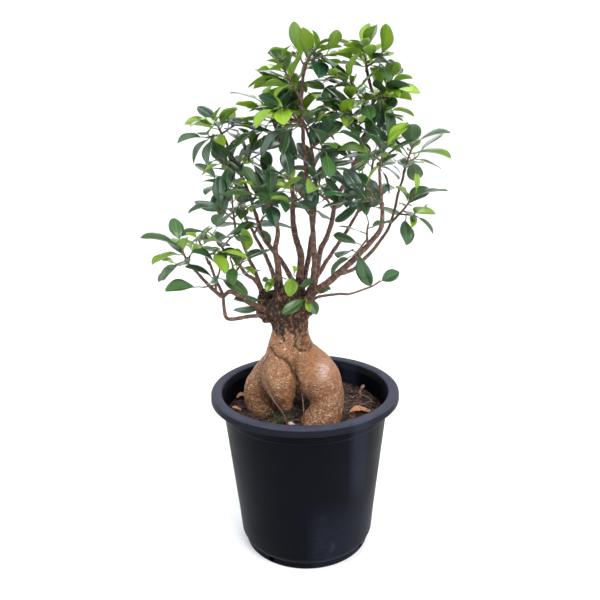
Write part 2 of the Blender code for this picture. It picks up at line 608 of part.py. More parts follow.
def leaf_cluster(name, leaves):
    """All of a shoot's leaves as loose bodies in one mesh, ready to be joined to the twigs."""
    points = []
    faces = []
    for leaf in leaves:
        leaf_points, leaf_faces = leaf.solid()
        faces += [tuple(i + len(points) for i in face) for face in leaf_faces]
        points += [point * MM for point in leaf_points]
    mesh = bpy.data.meshes.new(name)
    mesh.from_pydata(points, [], faces)
    work = bmesh.new()
    work.from_mesh(mesh)
    bmesh.ops.recalc_face_normals(work, faces=work.faces)
    work.to_mesh(mesh)
    work.free()
    return add_object(name, mesh)


def nearest_point(route, place):
    """The point of a route that is nearest to a place."""
    best = None
    for a, b in zip(route, route[1:]):
        share = min(max((place - a).dot(b - a) / (b - a).length_squared, 0.0), 1.0)
        spot = a.lerp(b, share)
        if best is None or (spot - place).length < (best - place).length:
            best = spot
    return best


def make_twig(name, points, radii, solids, draw):
    """One twig that is clear of every solid: its free end is moved a little until it is."""
    for attempt in range(TWIG_TRIES):
        moved = [Vector(point) for point in points]
        for point in moved[1:]:
            point += Vector([draw.uniform(-attempt, attempt) * 0.5 for _ in range(3)])
        route = smooth_route(moved, 12)
        twig = tube(name, route, taper(*radii, len(route)), 4)
        if not any(tree_of(twig).overlap(solid) for solid in solids):
            return route, twig
        bpy.data.objects.remove(twig)
    raise ValueError(f"{name} has no room")


def make_twigs(name, stem, twigs, solids, draw):
    """A shoot's main twig and the side twigs that fork off it."""
    main = trimmed(twigs[0][1], TWIG_RADII[0], [solids[stem]])
    others = list(solids.values())
    route, part = make_twig(name, main, TWIG_RADII, others, draw)
    routes = [route]
    parts = [part]
    for i, (_, points) in enumerate(twigs[1:]):
        fork = [nearest_point(route, Vector(points[0]))] + points[1:]
        side_route, side = make_twig(f"{name}_side_{i}", fork, SIDE_TWIG_RADII, others, draw)
        routes.append(side_route)
        parts.append(side)
    for part in parts:
        solids[part.name] = tree_of(part)
    return routes, parts


def make_leaves(name, fresh, twigs, routes, parts, solids, draw):
    """Grow the leaves of one shoot and join them and its twigs into one body."""
    own = [solids.pop(part.name) for part in parts]
    others = list(solids.values())
    leaves = []
    for (count, _), route in zip(twigs, routes):
        leaves += place_leaves(route, count, fresh, draw, own, others)
    shoot = parts[0]
    join(shoot, parts[1:] + [leaf_cluster(name + "_leaves", leaves)])
    shoot.data.name = name
    shoot.data.materials.clear()
    shoot.data.materials.append(principled("leaf"))
    solids[name] = tree_of(shoot)
    return len(leaves)


def make_end_leaf(solids):
    """The lone leaf at the end of the low right twig, joined to that twig."""
    foot, tip, width = Vector(END_LEAF[0]), Vector(END_LEAF[1]), END_LEAF[2]
    leaf = Leaf(foot, tip - foot, Vector((0.0, -0.75, 0.66)), (tip - foot).length, width, 0.0, 1.5)
    twig = bpy.data.objects["low_right_twig"]
    join(twig, [leaf_cluster("end_leaf", [leaf])])
    solids["low_right_twig"] = tree_of(twig)


def make_aerial_root(solids):
    """The thin root that runs down the middle leg into the soil's surface."""
    route = smooth_route(AERIAL_ROOT, 8)
    item = tube("aerial_root", route, taper(AERIAL_ROOT_RADIUS, AERIAL_ROOT_RADIUS, len(route)), 6, "stem")
    item.data.shade_smooth()
    solids["aerial_root"] = tree_of(item)


def make_fallen_leaf(index, x, y, turn, length, width, curl, solids):
    """A dry, curled leaf lying on the soil."""
    work = bmesh.new()
    bmesh.ops.create_grid(work, x_segments=5, y_segments=2, size=0.5)
    for vertex in work.verts:
        along = vertex.co.x + 0.5
        across = vertex.co.y * 2
        half = width * (0.15 + leaf_width(min(max(along, 0.02), 0.98)) * 0.85)
        bend = curl * (across * half) ** 2 / width + 2.0 * math.sin(along * 5.0)
        vertex.co = Vector(((along - 0.5) * length, across * half, bend)) * MM
    spin = Matrix.Rotation(math.radians(turn), 3, "Z")
    bmesh.ops.rotate(work, verts=work.verts, cent=(0, 0, 0), matrix=spin)
    mesh = bpy.data.meshes.new("fallen")
    work.to_mesh(mesh)
    work.free()
    item = add_object(f"fallen_leaf_{index}", mesh)
    skin = item.modifiers.new("thickness", "SOLIDIFY")
    skin.thickness = LITTER_THICKNESS * MM
    skin.offset = 1.0
    item = settle(item, "dry_leaf")
    item.location = Vector((x, y, SOIL_HEIGHT + SOIL_CROWN)) * MM
    lower_to_rest(item, solids)


def lower_to_rest(item, solids):
    """Lower a loose piece until it is about to touch the soil or the root base, and fix it there."""
    mesh = item.data
    mesh.transform(Matrix.Translation(item.location))
    item.location = (0, 0, 0)
    solid_list = [solids["soil"], solids["root_base"]]
    raised = 12.0
    mesh.transform(Matrix.Translation((0, 0, raised * MM)))
    for _ in range(200):
        mesh.transform(Matrix.Translation((0, 0, -0.1 * MM)))
        tree = tree_of(item)
        if any(tree.overlap(solid) for solid in solid_list):
            mesh.transform(Matrix.Translation((0, 0, (0.1 + GAP) * MM)))
            break
    solids[item.name] = tree_of(item)


def clear_scene():
    """Remove every object and leave one empty collection for the tree."""
    for item in list(bpy.data.objects):
        bpy.data.objects.remove(item)
    tree = bpy.data.collections.new(OBJECT_NAME)
    bpy.context.scene.collection.children.link(tree)


def main():
    clear_scene()
    draw = random.Random(SEED)
    make_pot()
    make_root_base("root_base", 0.0, "root_base")
    make_soil()
    solids = {name: tree_of(bpy.data.objects[name]) for name in ("pot", "root_base", "soil")}
    make_stems(solids)
    make_end_leaf(solids)
    make_aerial_root(solids)
    for i, leaf in enumerate(FALLEN_LEAVES):
        make_fallen_leaf(i + 1, *leaf, solids)
    skeleton = [make_twigs(name, stem, twigs, solids, draw) for name, stem, _, twigs in SHOOTS]
    total = 0
    for (name, _, fresh, twigs), (routes, parts) in zip(SHOOTS, skeleton):
        total += make_leaves(name, fresh, twigs, routes, parts, solids, draw)
    print("leaves:", total, "triangles:", sum(
        len(face.vertices) - 2 for item in bpy.data.objects for face in item.data.polygons))


main()
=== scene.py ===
"""A grafted fig bonsai with a swollen root base, in a black nursery pot: the finished surface of every piece.

Lengths are written in millimetres and scaled by MM when a mesh is made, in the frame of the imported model:
the origin is the middle of the pot's foot, +Z is up, and the front of the tree looks along -Y.
"""

import math
import random

import bmesh
import bpy
import numpy as np
from mathutils import Matrix, Vector, noise
from mathutils.kdtree import KDTree


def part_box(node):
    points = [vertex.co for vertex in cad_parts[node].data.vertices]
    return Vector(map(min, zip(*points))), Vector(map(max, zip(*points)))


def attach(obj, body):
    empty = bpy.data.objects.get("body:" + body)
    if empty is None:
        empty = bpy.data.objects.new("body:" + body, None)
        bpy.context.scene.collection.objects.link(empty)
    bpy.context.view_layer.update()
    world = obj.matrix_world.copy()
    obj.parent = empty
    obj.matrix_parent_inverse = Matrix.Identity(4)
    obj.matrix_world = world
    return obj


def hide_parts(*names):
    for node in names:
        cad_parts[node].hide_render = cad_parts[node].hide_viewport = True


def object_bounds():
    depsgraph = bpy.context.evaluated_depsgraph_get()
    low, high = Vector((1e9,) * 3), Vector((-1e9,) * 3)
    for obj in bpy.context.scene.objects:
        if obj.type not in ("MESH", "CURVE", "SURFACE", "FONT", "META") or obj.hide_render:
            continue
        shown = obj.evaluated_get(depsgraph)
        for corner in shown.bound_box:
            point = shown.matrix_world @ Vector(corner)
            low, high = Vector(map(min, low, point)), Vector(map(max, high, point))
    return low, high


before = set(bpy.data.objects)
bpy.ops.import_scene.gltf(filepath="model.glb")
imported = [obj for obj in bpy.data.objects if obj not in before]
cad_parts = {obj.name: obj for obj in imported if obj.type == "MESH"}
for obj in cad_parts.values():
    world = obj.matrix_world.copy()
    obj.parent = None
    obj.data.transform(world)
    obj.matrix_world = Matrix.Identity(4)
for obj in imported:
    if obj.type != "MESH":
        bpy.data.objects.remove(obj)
CAD_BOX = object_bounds()

bl_info = {
    "name": "Potted fig bonsai",
    "version": (1, 0, 0),
    "blender": (4, 5, 0),
    "location": "View3D > Sidebar > Bonsai",
    "description": "Pot, soil, root base, stems and leaves of a grafted fig bonsai",
    "category": "Add Mesh",
}

MM = 0.001
GOLDEN_ANGLE = math.radians(137.5)
MERGE = 0.00001

# Pot, as (radius, height) sizes
POT_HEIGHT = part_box("pot")[1].z / MM
RIM_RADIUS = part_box("pot")[1].x / MM
LIP_HEIGHT = 8.2
LIP_WALL = 1.6
WALL = 2.0
BODY_TOP_RADIUS = 89.4
BODY_LOW_RADIUS = 72.3
BODY_LOW_HEIGHT = 12.0
FOOT_RADIUS = 68.3
FLOOR_RADIUS = 58.0
FLOOR_HEIGHT = 4.0
PAD_RADIUS = 12.0
BAND_HEIGHT = 153.0
DRAIN_HOLES = 4
DRAIN_RADIUS = 3.2
DRAIN_HEIGHT = 4.4
DRAIN_ANGLE = -33.0
DRILL_LENGTH = 16.0

# Soil, and what lies on it: moss as (x, y, reach, tufts), pebbles as (x, y, radius), rootlets as points
SOIL_HEIGHT = 149.0
SOIL_CROWN = 3.0
LEG_LEVEL = 166.0
MOSS_CUSHIONS = [(-26, -33, 9, 190), (-33, -14, 12, 260), (-22, -22, 9, 120)]
PEBBLES = [(-15, -41, 2.6), (-11, -43, 1.3), (40, 30, 1.6), (62, 12, 1.2), (-52, -30, 1.3)]
ROOTLETS = [
    [(48, -2, 151), (56, 4, 153.5), (63, 3, 152), (70, 6, 153.5), (77, 8, 151)],
    [(34, 14, 151), (38, 8, 154), (44, 6, 153), (48, -2, 150.5)],
    [(52, 22, 151), (60, 24, 154), (70, 18, 153), (74, 12, 150)],
    [(-52, -38, 150), (-46, -46, 153), (-38, -50, 151)],
    [(-56, 34, 150), (-48, 44, 154), (-36, 52, 151)],
    [(20, 60, 150), (32, 58, 154), (42, 50, 151)],
]
STALK = [(62, 24, 150), (61, 23, 157), (63, 22, 163), (66, 22, 166)]

# Root base: each limb is a row of balls, (x, y, z, radius).
ROOT_ROWS = [
    [(-15, 1, 262, 20), (-15, 2, 250, 20), (-14, 2, 238, 19), (-13, 0, 226, 19.5), (-11, 0, 214, 18)],
    [(-5, -4, 221, 14), (3, -9, 210, 18), (8.5, -13, 202, 21), (13.5, -17, 193, 22.5),
     (18, -21, 184.5, 21.5), (22, -25, 175, 18.5), (22.5, -31, 165, 16.7), (17.5, -36, 155, 18.5),
     (12, -39, 147, 18.5), (9, -40, 138, 14)],
    [(-21, 0, 236, 13), (-24, -6, 223, 14), (-27, -12, 209, 15.5), (-27, -17, 195, 18),
     (-24.5, -21, 184, 16.5), (-22, -24, 174, 12.5), (-20, -26, 166, 7)],
    [(-22, 3, 230, 12), (-28, 3, 212, 10), (-36, 4, 201, 11.5), (-43, 3, 189, 13.5), (-48, 1, 175, 16.5),
     (-48.5, -2, 162, 16.5), (-43, -7, 150, 14.5), (-37, -10, 140, 10)],
    [(-10, 8, 234, 14), (-8, 18, 216, 17), (-3, 27, 198, 18), (2, 33, 180, 16), (4, 37, 164, 14),
     (4, 39, 150, 13), (4, 39, 139, 9)],
]
STUB_ROWS = [
    [(-37, -5, 258, 9), (-41, -7, 270, 7), (-42, -3, 281, 4)],
    [(-21, -9, 266, 10), (-24, -14, 281, 6.5), (-24, -15, 295, 4)],
    [(-12, 6, 268, 10), (-6, 13, 281, 6), (-4, 16, 291, 4.2)],
    [(2, -4, 264, 10), (8, -8, 276, 4.5)],
]
BURR_KNOBS = [
    (-38, -4, 262, 11), (-26, -12, 266, 12), (-4, -8, 264, 13), (-2, 8, 268, 12), (-16, 16, 266, 12),
    (-32, 8, 270, 11), (-14, -4, 276, 12), (-18, -19, 262, 8), (-40, -10, 268, 7),
]
BURR_HEIGHT = 240.0
SCAR = (-1, 230)
SCAR_RADIUS = 6.5
CREASE = [(-35, 226), (-29, 220), (-19, 215), (-14, 209), (-11, 201), (-6, 190)]
FRONT = -6.0

# Heights between which the rusty colour fades out, and the smoother stretch of the right shoulder starts
RUSTY = (166.0, 212.0)
SHOULDER = (192.0, 204.0)

# Thin roots, one down the middle leg and one in the gap beside it: (name, points, radius, dark, pale, nodes)
THIN_ROOTS = [
    ("aerial_root_strand",
     [(-36, -20, 221), (-43, -27, 208), (-40, -34, 193), (-32, -40, 178), (-22, -42, 163), (-19, -43, 153)],
     0.9, (0.055, 0.030, 0.028), (0.17, 0.09, 0.075), ["aerial_root"]),
    ("gap_root_strand", [(-6, -19, 188), (-3, -24, 176), (-2, -28, 166), (-1, -30, 153)],
     0.6, (0.16, 0.10, 0.08), (0.42, 0.30, 0.24), []),
]

STEM_SEED = 7

# Stems: (name, radius at the foot, radius at the end, points from foot to end).
STEMS = [
    ("leader_stem", 3.1, 1.4, [
        (6, -5, 268), (9, -12, 290), (11, -15, 310), (11, -15, 328), (10, -15, 348), (8, -15, 370),
        (5, -12, 395), (2, -8, 431), (1, -5, 458), (2, -1, 480), (3, -2, 491)]),
    ("right_stem", 3.1, 1.3, [
        (8, 0, 268), (14, 4, 300), (18, 8, 321), (24, 10, 333), (29, 13, 347), (33, 16, 364), (38, 18, 378),
        (47, 20, 394), (55, 22, 410), (62, 22, 430), (68, 20, 451), (70, 15, 467), (66, 12, 484),
        (63, 10, 495)]),
    ("right_branch", 4.2, 1.2, [
        (-2, -8, 266), (9, -20, 283), (21, -28, 294), (32, -32, 304), (42, -36, 314), (54, -40, 327),
        (64, -42, 338), (72, -42, 349), (74, -42, 360), (73, -40, 376), (72, -36, 394), (71, -34, 404)]),
    ("right_fork", 2.0, 1.1, [
        (36, -33, 306), (48, -26, 308), (59, -22, 317), (71, -16, 328), (84, -10, 345), (90, -8, 362),
        (93, -6, 376), (98, -4, 393), (99, -3, 400)]),
    ("low_right_twig", 1.7, 0.8, [
        (-2, -16, 268), (12, -33, 282), (23, -46, 288), (33, -54, 291), (43, -58, 292), (54, -60, 296),
        (65, -61, 301), (71, -61, 305)]),
    ("low_left_twig", 2.2, 1.2, [
        (-36, -10, 258), (-50, -17, 260), (-64, -25, 260), (-75, -29, 261), (-78, -30, 268), (-79, -30, 285),
        (-86, -32, 306), (-90, -34, 320)]),
    ("left_knob_branch", 3.2, 1.1, [
        (-38, -12, 264), (-52, -24, 275), (-62, -31, 284), (-71, -36, 290), (-78, -40, 287), (-86, -42, 294),
        (-94, -44, 304), (-100, -46, 312), (-106, -46, 320)]),
    ("left_arc_branch", 2.3, 1.2, [
        (-42, -4, 280), (-49, -5, 294), (-57, -10, 301), (-64, -14, 313), (-70, -18, 321), (-76, -20, 328)]),
    ("left_upper_branch", 2.3, 1.2, [
        (-42, -1, 281), (-50, 6, 302), (-56, 8, 315), (-60, 10, 326), (-64, 12, 335), (-68, 10, 345)]),
    ("centre_stem", 3.6, 1.3, [
        (-24, -15, 294), (-25, -16, 314), (-27, -16, 328), (-24, -18, 343), (-25, -20, 353), (-29, -22, 362),
        (-32, -24, 369)]),
    ("middle_stem", 4.0, 1.4, [
        (-4, 16, 288), (-2, 20, 312), (-6, 24, 328), (-9, 28, 341), (-10, 30, 358), (-9, 32, 372),
        (-12, 34, 390), (-17, 34, 411), (-21, 32, 429)]),
    ("upper_left_stem", 2.8, 1.2, [
        (-9, 14, 284), (-22, 25, 306), (-33, 30, 319), (-43, 34, 335), (-49, 38, 354), (-55, 40, 375),
        (-65, 40, 400), (-73, 36, 420), (-79, 34, 436)]),
    ("back_stem", 3.2, 1.2, [
        (-3, 8, 272), (6, 34, 310), (12, 48, 345), (14, 53, 380), (12, 50, 412), (8, 44, 436)]),
    ("back_left_stem", 2.7, 1.1, [
        (-26, 12, 272), (-36, 34, 302), (-52, 54, 330), (-66, 66, 356), (-71, 70, 378)]),
    ("back_right_stem", 2.7, 1.1, [
        (0, 8, 270), (22, 32, 300), (44, 52, 328), (60, 62, 352), (70, 64, 378), (74, 60, 396)]),
]

# Leafy shoots: (name, stem it grows on, freshness of its leaves, twigs); the first twig leaves the stem
# and the others fork off the first. A twig is (leaf count, points).
SHOOTS = [
    ("crown_top", "leader_stem", 0.75, [
        (6, [(3, -2, 488), (6, -4, 500), (14, -8, 511)]), (4, [(5, -3, 495), (-3, 6, 510)]),
        (4, [(7, -4, 501), (24, -13, 505)])]),
    ("crown_left", "leader_stem", 0.7, [
        (6, [(1, -3, 466), (-9, -9, 483), (-18, -14, 499)]), (4, [(-5, -6, 476), (-20, 10, 482)]),
        (3, [(-3, -5, 472), (-6, 18, 486)])]),
    ("top_left", "middle_stem", 0.45, [
        (6, [(-21, 32, 427), (-28, 27, 448), (-38, 22, 466)]), (4, [(-26, 28, 442), (-20, 16, 464)]),
        (4, [(-24, 30, 436), (-45, 20, 446)])]),
    ("right_top", "right_stem", 0.6, [
        (6, [(63, 10, 492), (62, 9, 502), (60, 6, 512)]), (4, [(63, 10, 497), (74, 0, 502)])]),
    ("right_top_outer", "right_stem", 0.4, [
        (5, [(69, 17, 462), (79, 17, 475), (88, 18, 484)]), (3, [(75, 17, 469), (84, 0, 468)])]),
    ("right_top_inner", "right_stem", 0.6, [
        (6, [(69, 18, 456), (56, 8, 470), (47, 0, 484)]), (4, [(54, 7, 473), (35, -6, 487)])]),
    ("middle_top", "right_stem", 0.15, [
        (6, [(60, 22, 423), (51, 6, 447), (45, -8, 463)]), (4, [(54, 11, 438), (31, -12, 455)])]),
    ("right_bright", "right_stem", 0.5, [
        (4, [(66, 21, 444), (76, 15, 451), (84, 12, 456)]), (3, [(73, 17, 448), (92, 34, 440)])]),
    ("leader_right", "leader_stem", 0.15, [
        (5, [(3, -9, 418), (18, -22, 429), (30, -28, 436)]), (3, [(11, -16, 424), (22, -38, 420)])]),
    ("leader_left", "leader_stem", 0.1, [
        (5, [(1, -7, 443), (-10, -18, 456), (-20, -26, 459)]), (3, [(-5, -13, 450), (-14, -30, 442)])]),
    ("low_leader_right", "leader_stem", 0.05, [
        (5, [(5, -12, 391), (19, -26, 402), (30, -32, 411)]), (3, [(12, -19, 397), (15, -44, 387)])]),
    ("low_leader_left", "leader_stem", 0.25, [
        (5, [(8, -15, 369), (-4, -30, 386), (-14, -36, 399)]), (3, [(1, -24, 379), (-11, -46, 374)])]),
    ("right_stem_inner", "right_stem", 0.05, [
        (4, [(32, 15, 361), (24, 2, 373), (16, -6, 381)]), (3, [(28, 8, 367), (20, 18, 384)])]),
    ("right_stem_outer", "right_stem", 0.05, [
        (5, [(43, 19, 387), (55, 30, 392), (63, 38, 397)]), (3, [(49, 25, 390), (54, 44, 374)])]),
    ("right_tip", "right_branch", 0.3, [
        (6, [(71, -34, 402), (74, -36, 416), (77, -38, 427)]), (4, [(73, -35, 411), (60, -46, 420)])]),
    ("outer_top", "right_fork", 0.35, [
        (5, [(99, -3, 398), (103, -4, 414), (107, -6, 425)]), (4, [(101, -3, 407), (114, 8, 413)])]),
    ("outer_middle", "right_fork", 0.3, [
        (5, [(86, -9, 350), (98, -20, 366), (107, -26, 381)]), (4, [(93, -15, 360), (106, -30, 360)])]),
    ("inner_low", "right_branch", 0.1, [
        (5, [(73, -40, 374), (62, -50, 377), (52, -56, 376)]), (3, [(67, -46, 376), (58, -52, 391)])]),
    ("branch_low", "right_branch", 0.15, [
        (3, [(61, -41, 335), (59, -50, 347), (60, -54, 357)]), (4, [(60, -46, 341), (46, -58, 328)])]),
    ("left_top", "upper_left_stem", 0.6, [
        (5, [(-79, 34, 433), (-82, 31, 442), (-86, 26, 450)]), (4, [(-80, 33, 437), (-95, 22, 434)]),
        (4, [(-80, 33, 438), (-64, 26, 447)])]),
    ("left_top_inner", "upper_left_stem", 0.1, [
        (5, [(-65, 40, 400), (-56, 31, 415), (-49, 24, 426)]), (4, [(-60, 35, 408), (-40, 32, 418)])]),
    ("left_middle", "upper_left_stem", 0.1, [
        (5, [(-65, 40, 397), (-74, 30, 406), (-82, 20, 410)]), (3, [(-69, 36, 401), (-70, 22, 388)])]),
    ("left_middle_inner", "upper_left_stem", 0.1, [
        (5, [(-53, 39, 367), (-42, 30, 386), (-34, 24, 397)]), (3, [(-47, 34, 377), (-52, 18, 392)])]),
    ("left_shoulder", "left_upper_branch", 0.45, [
        (5, [(-68, 10, 342), (-69, 5, 362), (-69, 0, 378)]), (4, [(-69, 7, 354), (-82, -6, 368)]),
        (3, [(-69, 7, 356), (-54, -8, 369)])]),
    ("left_arc_tip", "left_arc_branch", 0.3, [
        (5, [(-76, -20, 326), (-81, -26, 338), (-88, -32, 347)]), (4, [(-78, -23, 331), (-67, -37, 344)])]),
    ("centre_left", "centre_stem", 0.35, [
        (5, [(-32, -24, 367), (-37, -32, 381), (-42, -38, 389)]), (3, [(-34, -27, 372), (-28, -44, 380)]),
        (3, [(-33, -26, 370), (-19, -36, 384)])]),
    ("low_left", "low_left_twig", 0.35, [
        (5, [(-90, -34, 317), (-94, -40, 332), (-97, -44, 343)]), (4, [(-92, -37, 325), (-80, -52, 333)])]),
    ("far_left", "left_knob_branch", 0.5, [
        (6, [(-106, -46, 318), (-110, -50, 329), (-112, -54, 340)]),
        (4, [(-108, -48, 324), (-118, -62, 322)]),
        (4, [(-108, -48, 323), (-104, -32, 332)])]),
    ("knob_upper", "left_knob_branch", 0.25, [
        (5, [(-69, -35, 288), (-67, -33, 304), (-55, -34, 324)]), (3, [(-66, -34, 308), (-68, -46, 326)])]),
    ("knob_lower", "left_knob_branch", 0.35, [
        (4, [(-84, -41, 291), (-82, -46, 304), (-76, -54, 318)]), (2, [(-83, -44, 299), (-94, -56, 300)])]),
    ("back_top", "back_stem", 0.3, [
        (5, [(8, 44, 433), (2, 42, 450), (-6, 38, 468)]), (4, [(6, 43, 440), (24, 48, 456)]),
        (4, [(5, 43, 442), (-10, 56, 446)])]),
    ("back_middle", "back_stem", 0.1, [
        (5, [(14, 53, 386), (26, 64, 398), (38, 66, 410)]), (4, [(20, 59, 392), (8, 80, 400)])]),
    ("back_centre", "back_stem", 0.1, [
        (5, [(12, 48, 346), (0, 62, 362), (-12, 70, 374)]), (3, [(6, 56, 355), (16, 78, 360)])]),
    ("back_left_tip", "back_left_stem", 0.3, [
        (5, [(-71, 70, 375), (-74, 72, 388), (-78, 72, 400)]), (4, [(-72, 71, 380), (-90, 60, 386)])]),
    ("back_left_middle", "back_left_stem", 0.1, [
        (5, [(-53, 55, 331), (-46, 72, 344), (-38, 84, 352)]), (3, [(-50, 62, 337), (-68, 84, 340)])]),
    ("back_right_tip", "back_right_stem", 0.3, [
        (5, [(74, 60, 393), (76, 58, 406), (78, 54, 418)]), (4, [(75, 59, 399), (93, 62, 404)])]),
    ("back_right_middle", "back_right_stem", 0.1, [
        (4, [(60, 62, 352), (74, 70, 360), (84, 74, 368)]), (3, [(66, 66, 355), (60, 86, 366)])]),
]

# Twig radii at the foot and the tip: the one that leaves the stem, and those that fork off it
FIRST_TWIG = (1.35, 0.75)
FORKED_TWIG = (1.0, 0.65)

# Leaves: lengths and shapes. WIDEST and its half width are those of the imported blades.
PETIOLE_SHARE = 7.0 / 32.0
LEAF_LENGTH = (21.0, 30.0)
YOUNG_LENGTH = (12.0, 19.0)
YOUNG_UNDER = 20.5
LEAF_WIDTH_RATIO = (0.54, 0.68)
FULLNESS = 1.06
SHORTER = 0.94
LEAF_KEEL = 1.3
WIDEST = 0.55
WIDEST_HALF = 0.4796
FOLD = (0.12, 0.55)
YOUNG_FOLD = 0.25
CURL = (-0.10, 0.30)
WAVE = (0.15, 0.75)
TWIST = (-0.35, 0.35)
DRAWN_OUT_TIP = (0.010, 0.035)
LEAF_GLOW = (0.10, 0.22, 0.03)
GLOW_SHARE = 0.15
STATIONS = [0.012, 0.06, 0.14, 0.26, 0.40, 0.54, 0.67, 0.78, 0.87, 0.935, 0.972, 0.992]
COLUMNS = [-1.0, -0.72, -0.38, -0.08, 0.0, 0.08, 0.38, 0.72, 1.0]

# Extra leaves: the most for each packed one, and the room between them low down and at the top. The crown
# thins out downwards, from all of them CROWN_FILL above LOW_CROWN to a share of THIN_BELOW.
MOST_EXTRA = 3.2
ROOM_LOW = 0.21
ROOM_AT_TOP = 0.15
PAST_TWIG = 10.0
CROWN_MIDDLE = Vector((-8.0, 0.0, 400.0))
THIN_BELOW = 0.12
LOW_CROWN = 345.0
CROWN_FILL = 120.0
STEM_GAP = 4.5
LEADER_GAP = 9.0

# Freshness: more new leaves at the top, none among the leaves that hang
TOP_OF_CROWN = 440.0
TOP_FRESH = 0.34
HANGING = -0.15

# Dry leaves on the soil: (x, y, turn, length, width, curl)
FALLEN_LEAVES = [(58, -14, 15, 24, 13, 0.5), (-70, 27, 35, 16, 9, 0.4), (-74, -5, 10, 10, 6, 0.4)]

# The lone leaf at the end of the low right twig
END_LEAF_FOOT = Vector((71, -61, 304))
END_LEAF_AHEAD = Vector((16, -2, 9))
END_LEAF_FACE = Vector((0.0, -0.75, 0.66))
END_LEAF_SIZE = (17.5, 13.0)
END_PETIOLE = 1.5

# Single leaves that sprout from the burr: (foot, tip, face, width, freshness).
SPROUTS = [
    ((-11, -26, 303), (-13, -43, 287), (0.1, -0.9, 0.3), 17, 0.62),
    ((-9, -24, 302), (-9, -38, 314), (0.2, -0.8, 0.5), 9, 1.0),
    ((-28, -16, 301), (-36, -30, 289), (-0.1, -0.8, 0.5), 11, 0.7),
    ((-40, -12, 274), (-66, -35, 284), (-0.2, -0.6, 0.8), 14, 0.1),
    ((-40, -10, 266), (-68, -30, 271), (-0.2, -0.6, 0.8), 13, 0.05),
    ((4, -17, 278), (-20, -34, 267), (0.0, -0.85, 0.45), 15, 0.12),
    ((2, -18, 279), (6, -31, 268), (0.1, -0.9, 0.3), 7, 0.85),
    ((4, -15, 280), (13, -27, 264), (0.3, -0.8, 0.4), 11, 0.08),
    ((-6, -12, 288), (9, -26, 297), (0.1, -0.7, 0.7), 13, 0.1),
    ((-28, -12, 288), (-38, -30, 300), (-0.1, -0.7, 0.7), 13, 0.1),
    ((6, -12, 284), (26, -24, 289), (0.2, -0.7, 0.7), 13, 0.15),
    ((-18, -14, 296), (-22, -34, 306), (-0.1, -0.7, 0.7), 12, 0.12),
]

# Lights: (name, place in metres, size, setting that holds its power, colour)
LIGHTS = [
    ("key_light", (0.75, -0.95, 1.25), 1.0, "key", (1.0, 0.985, 0.96)),
    ("fill_light", (-0.9, -0.35, 1.3), 1.1, "fill", (0.90, 0.95, 1.0)),
    ("back_light", (0.1, 1.0, 1.35), 1.2, "fill", (0.93, 0.96, 1.0)),
]
LIT_PLACE = Vector((0, 0, 0.28))

# Backdrop, in metres: a flat round floor that bends up into a wall
FLOOR_REACH = 1.2
FLOOR_BEND = 0.9
WALL_TOP = 2.4

# Camera, at the height of a seated eye: place in millimetres, angles in degrees
CAMERA_PLACE = Vector((0, -607, 436))
CAMERA_PITCH = 15.2
CAMERA_YAW = -0.35
CAMERA_ROLL = -0.93
LENS = 36.63
SENSOR = 36.0


def shade(colour, share, lift=0.0):
    """A colour made darker or lighter by a share, and lifted."""
    return tuple(min(component * share + lift, 1.0) for component in colour)


class Value:
    """A shader socket that sums are written with."""

    def __init__(self, finish, socket):
        self.finish = finish
        self.socket = socket

    def maths(self, operation, *values):
        """A Math node on the values, each a number or another socket."""
        return self.finish.node("Math", {"operation": operation}, dict(enumerate(values)))

    def __add__(self, other):
        return self.maths("ADD", self, other)

    def __radd__(self, other):
        return self.maths("ADD", other, self)

    def __sub__(self, other):
        return self.maths("SUBTRACT", self, other)

    def __rsub__(self, other):
        return self.maths("SUBTRACT", other, self)

    def __mul__(self, other):
        return self.maths("MULTIPLY", self, other)

    def __rmul__(self, other):
        return self.maths("MULTIPLY", other, self)

    def __truediv__(self, other):
        return self.maths("DIVIDE", self, other)

    def __pow__(self, other):
        return self.maths("POWER", self, other)

    def __abs__(self):
        return self.maths("ABSOLUTE", self)

    def between(self, low, high):
        """Zero below low, one above high and smooth between them."""
        return self.smooth(low, high, 0.0, 1.0)

    def smooth(self, low, high, start, end):
        """The start value below low, the end value above high and smooth between them."""
        sockets = {"Value": self, "From Min": low, "From Max": high, "To Min": start, "To Max": end}
        return self.finish.node("MapRange", {"interpolation_type": "SMOOTHSTEP"}, sockets)


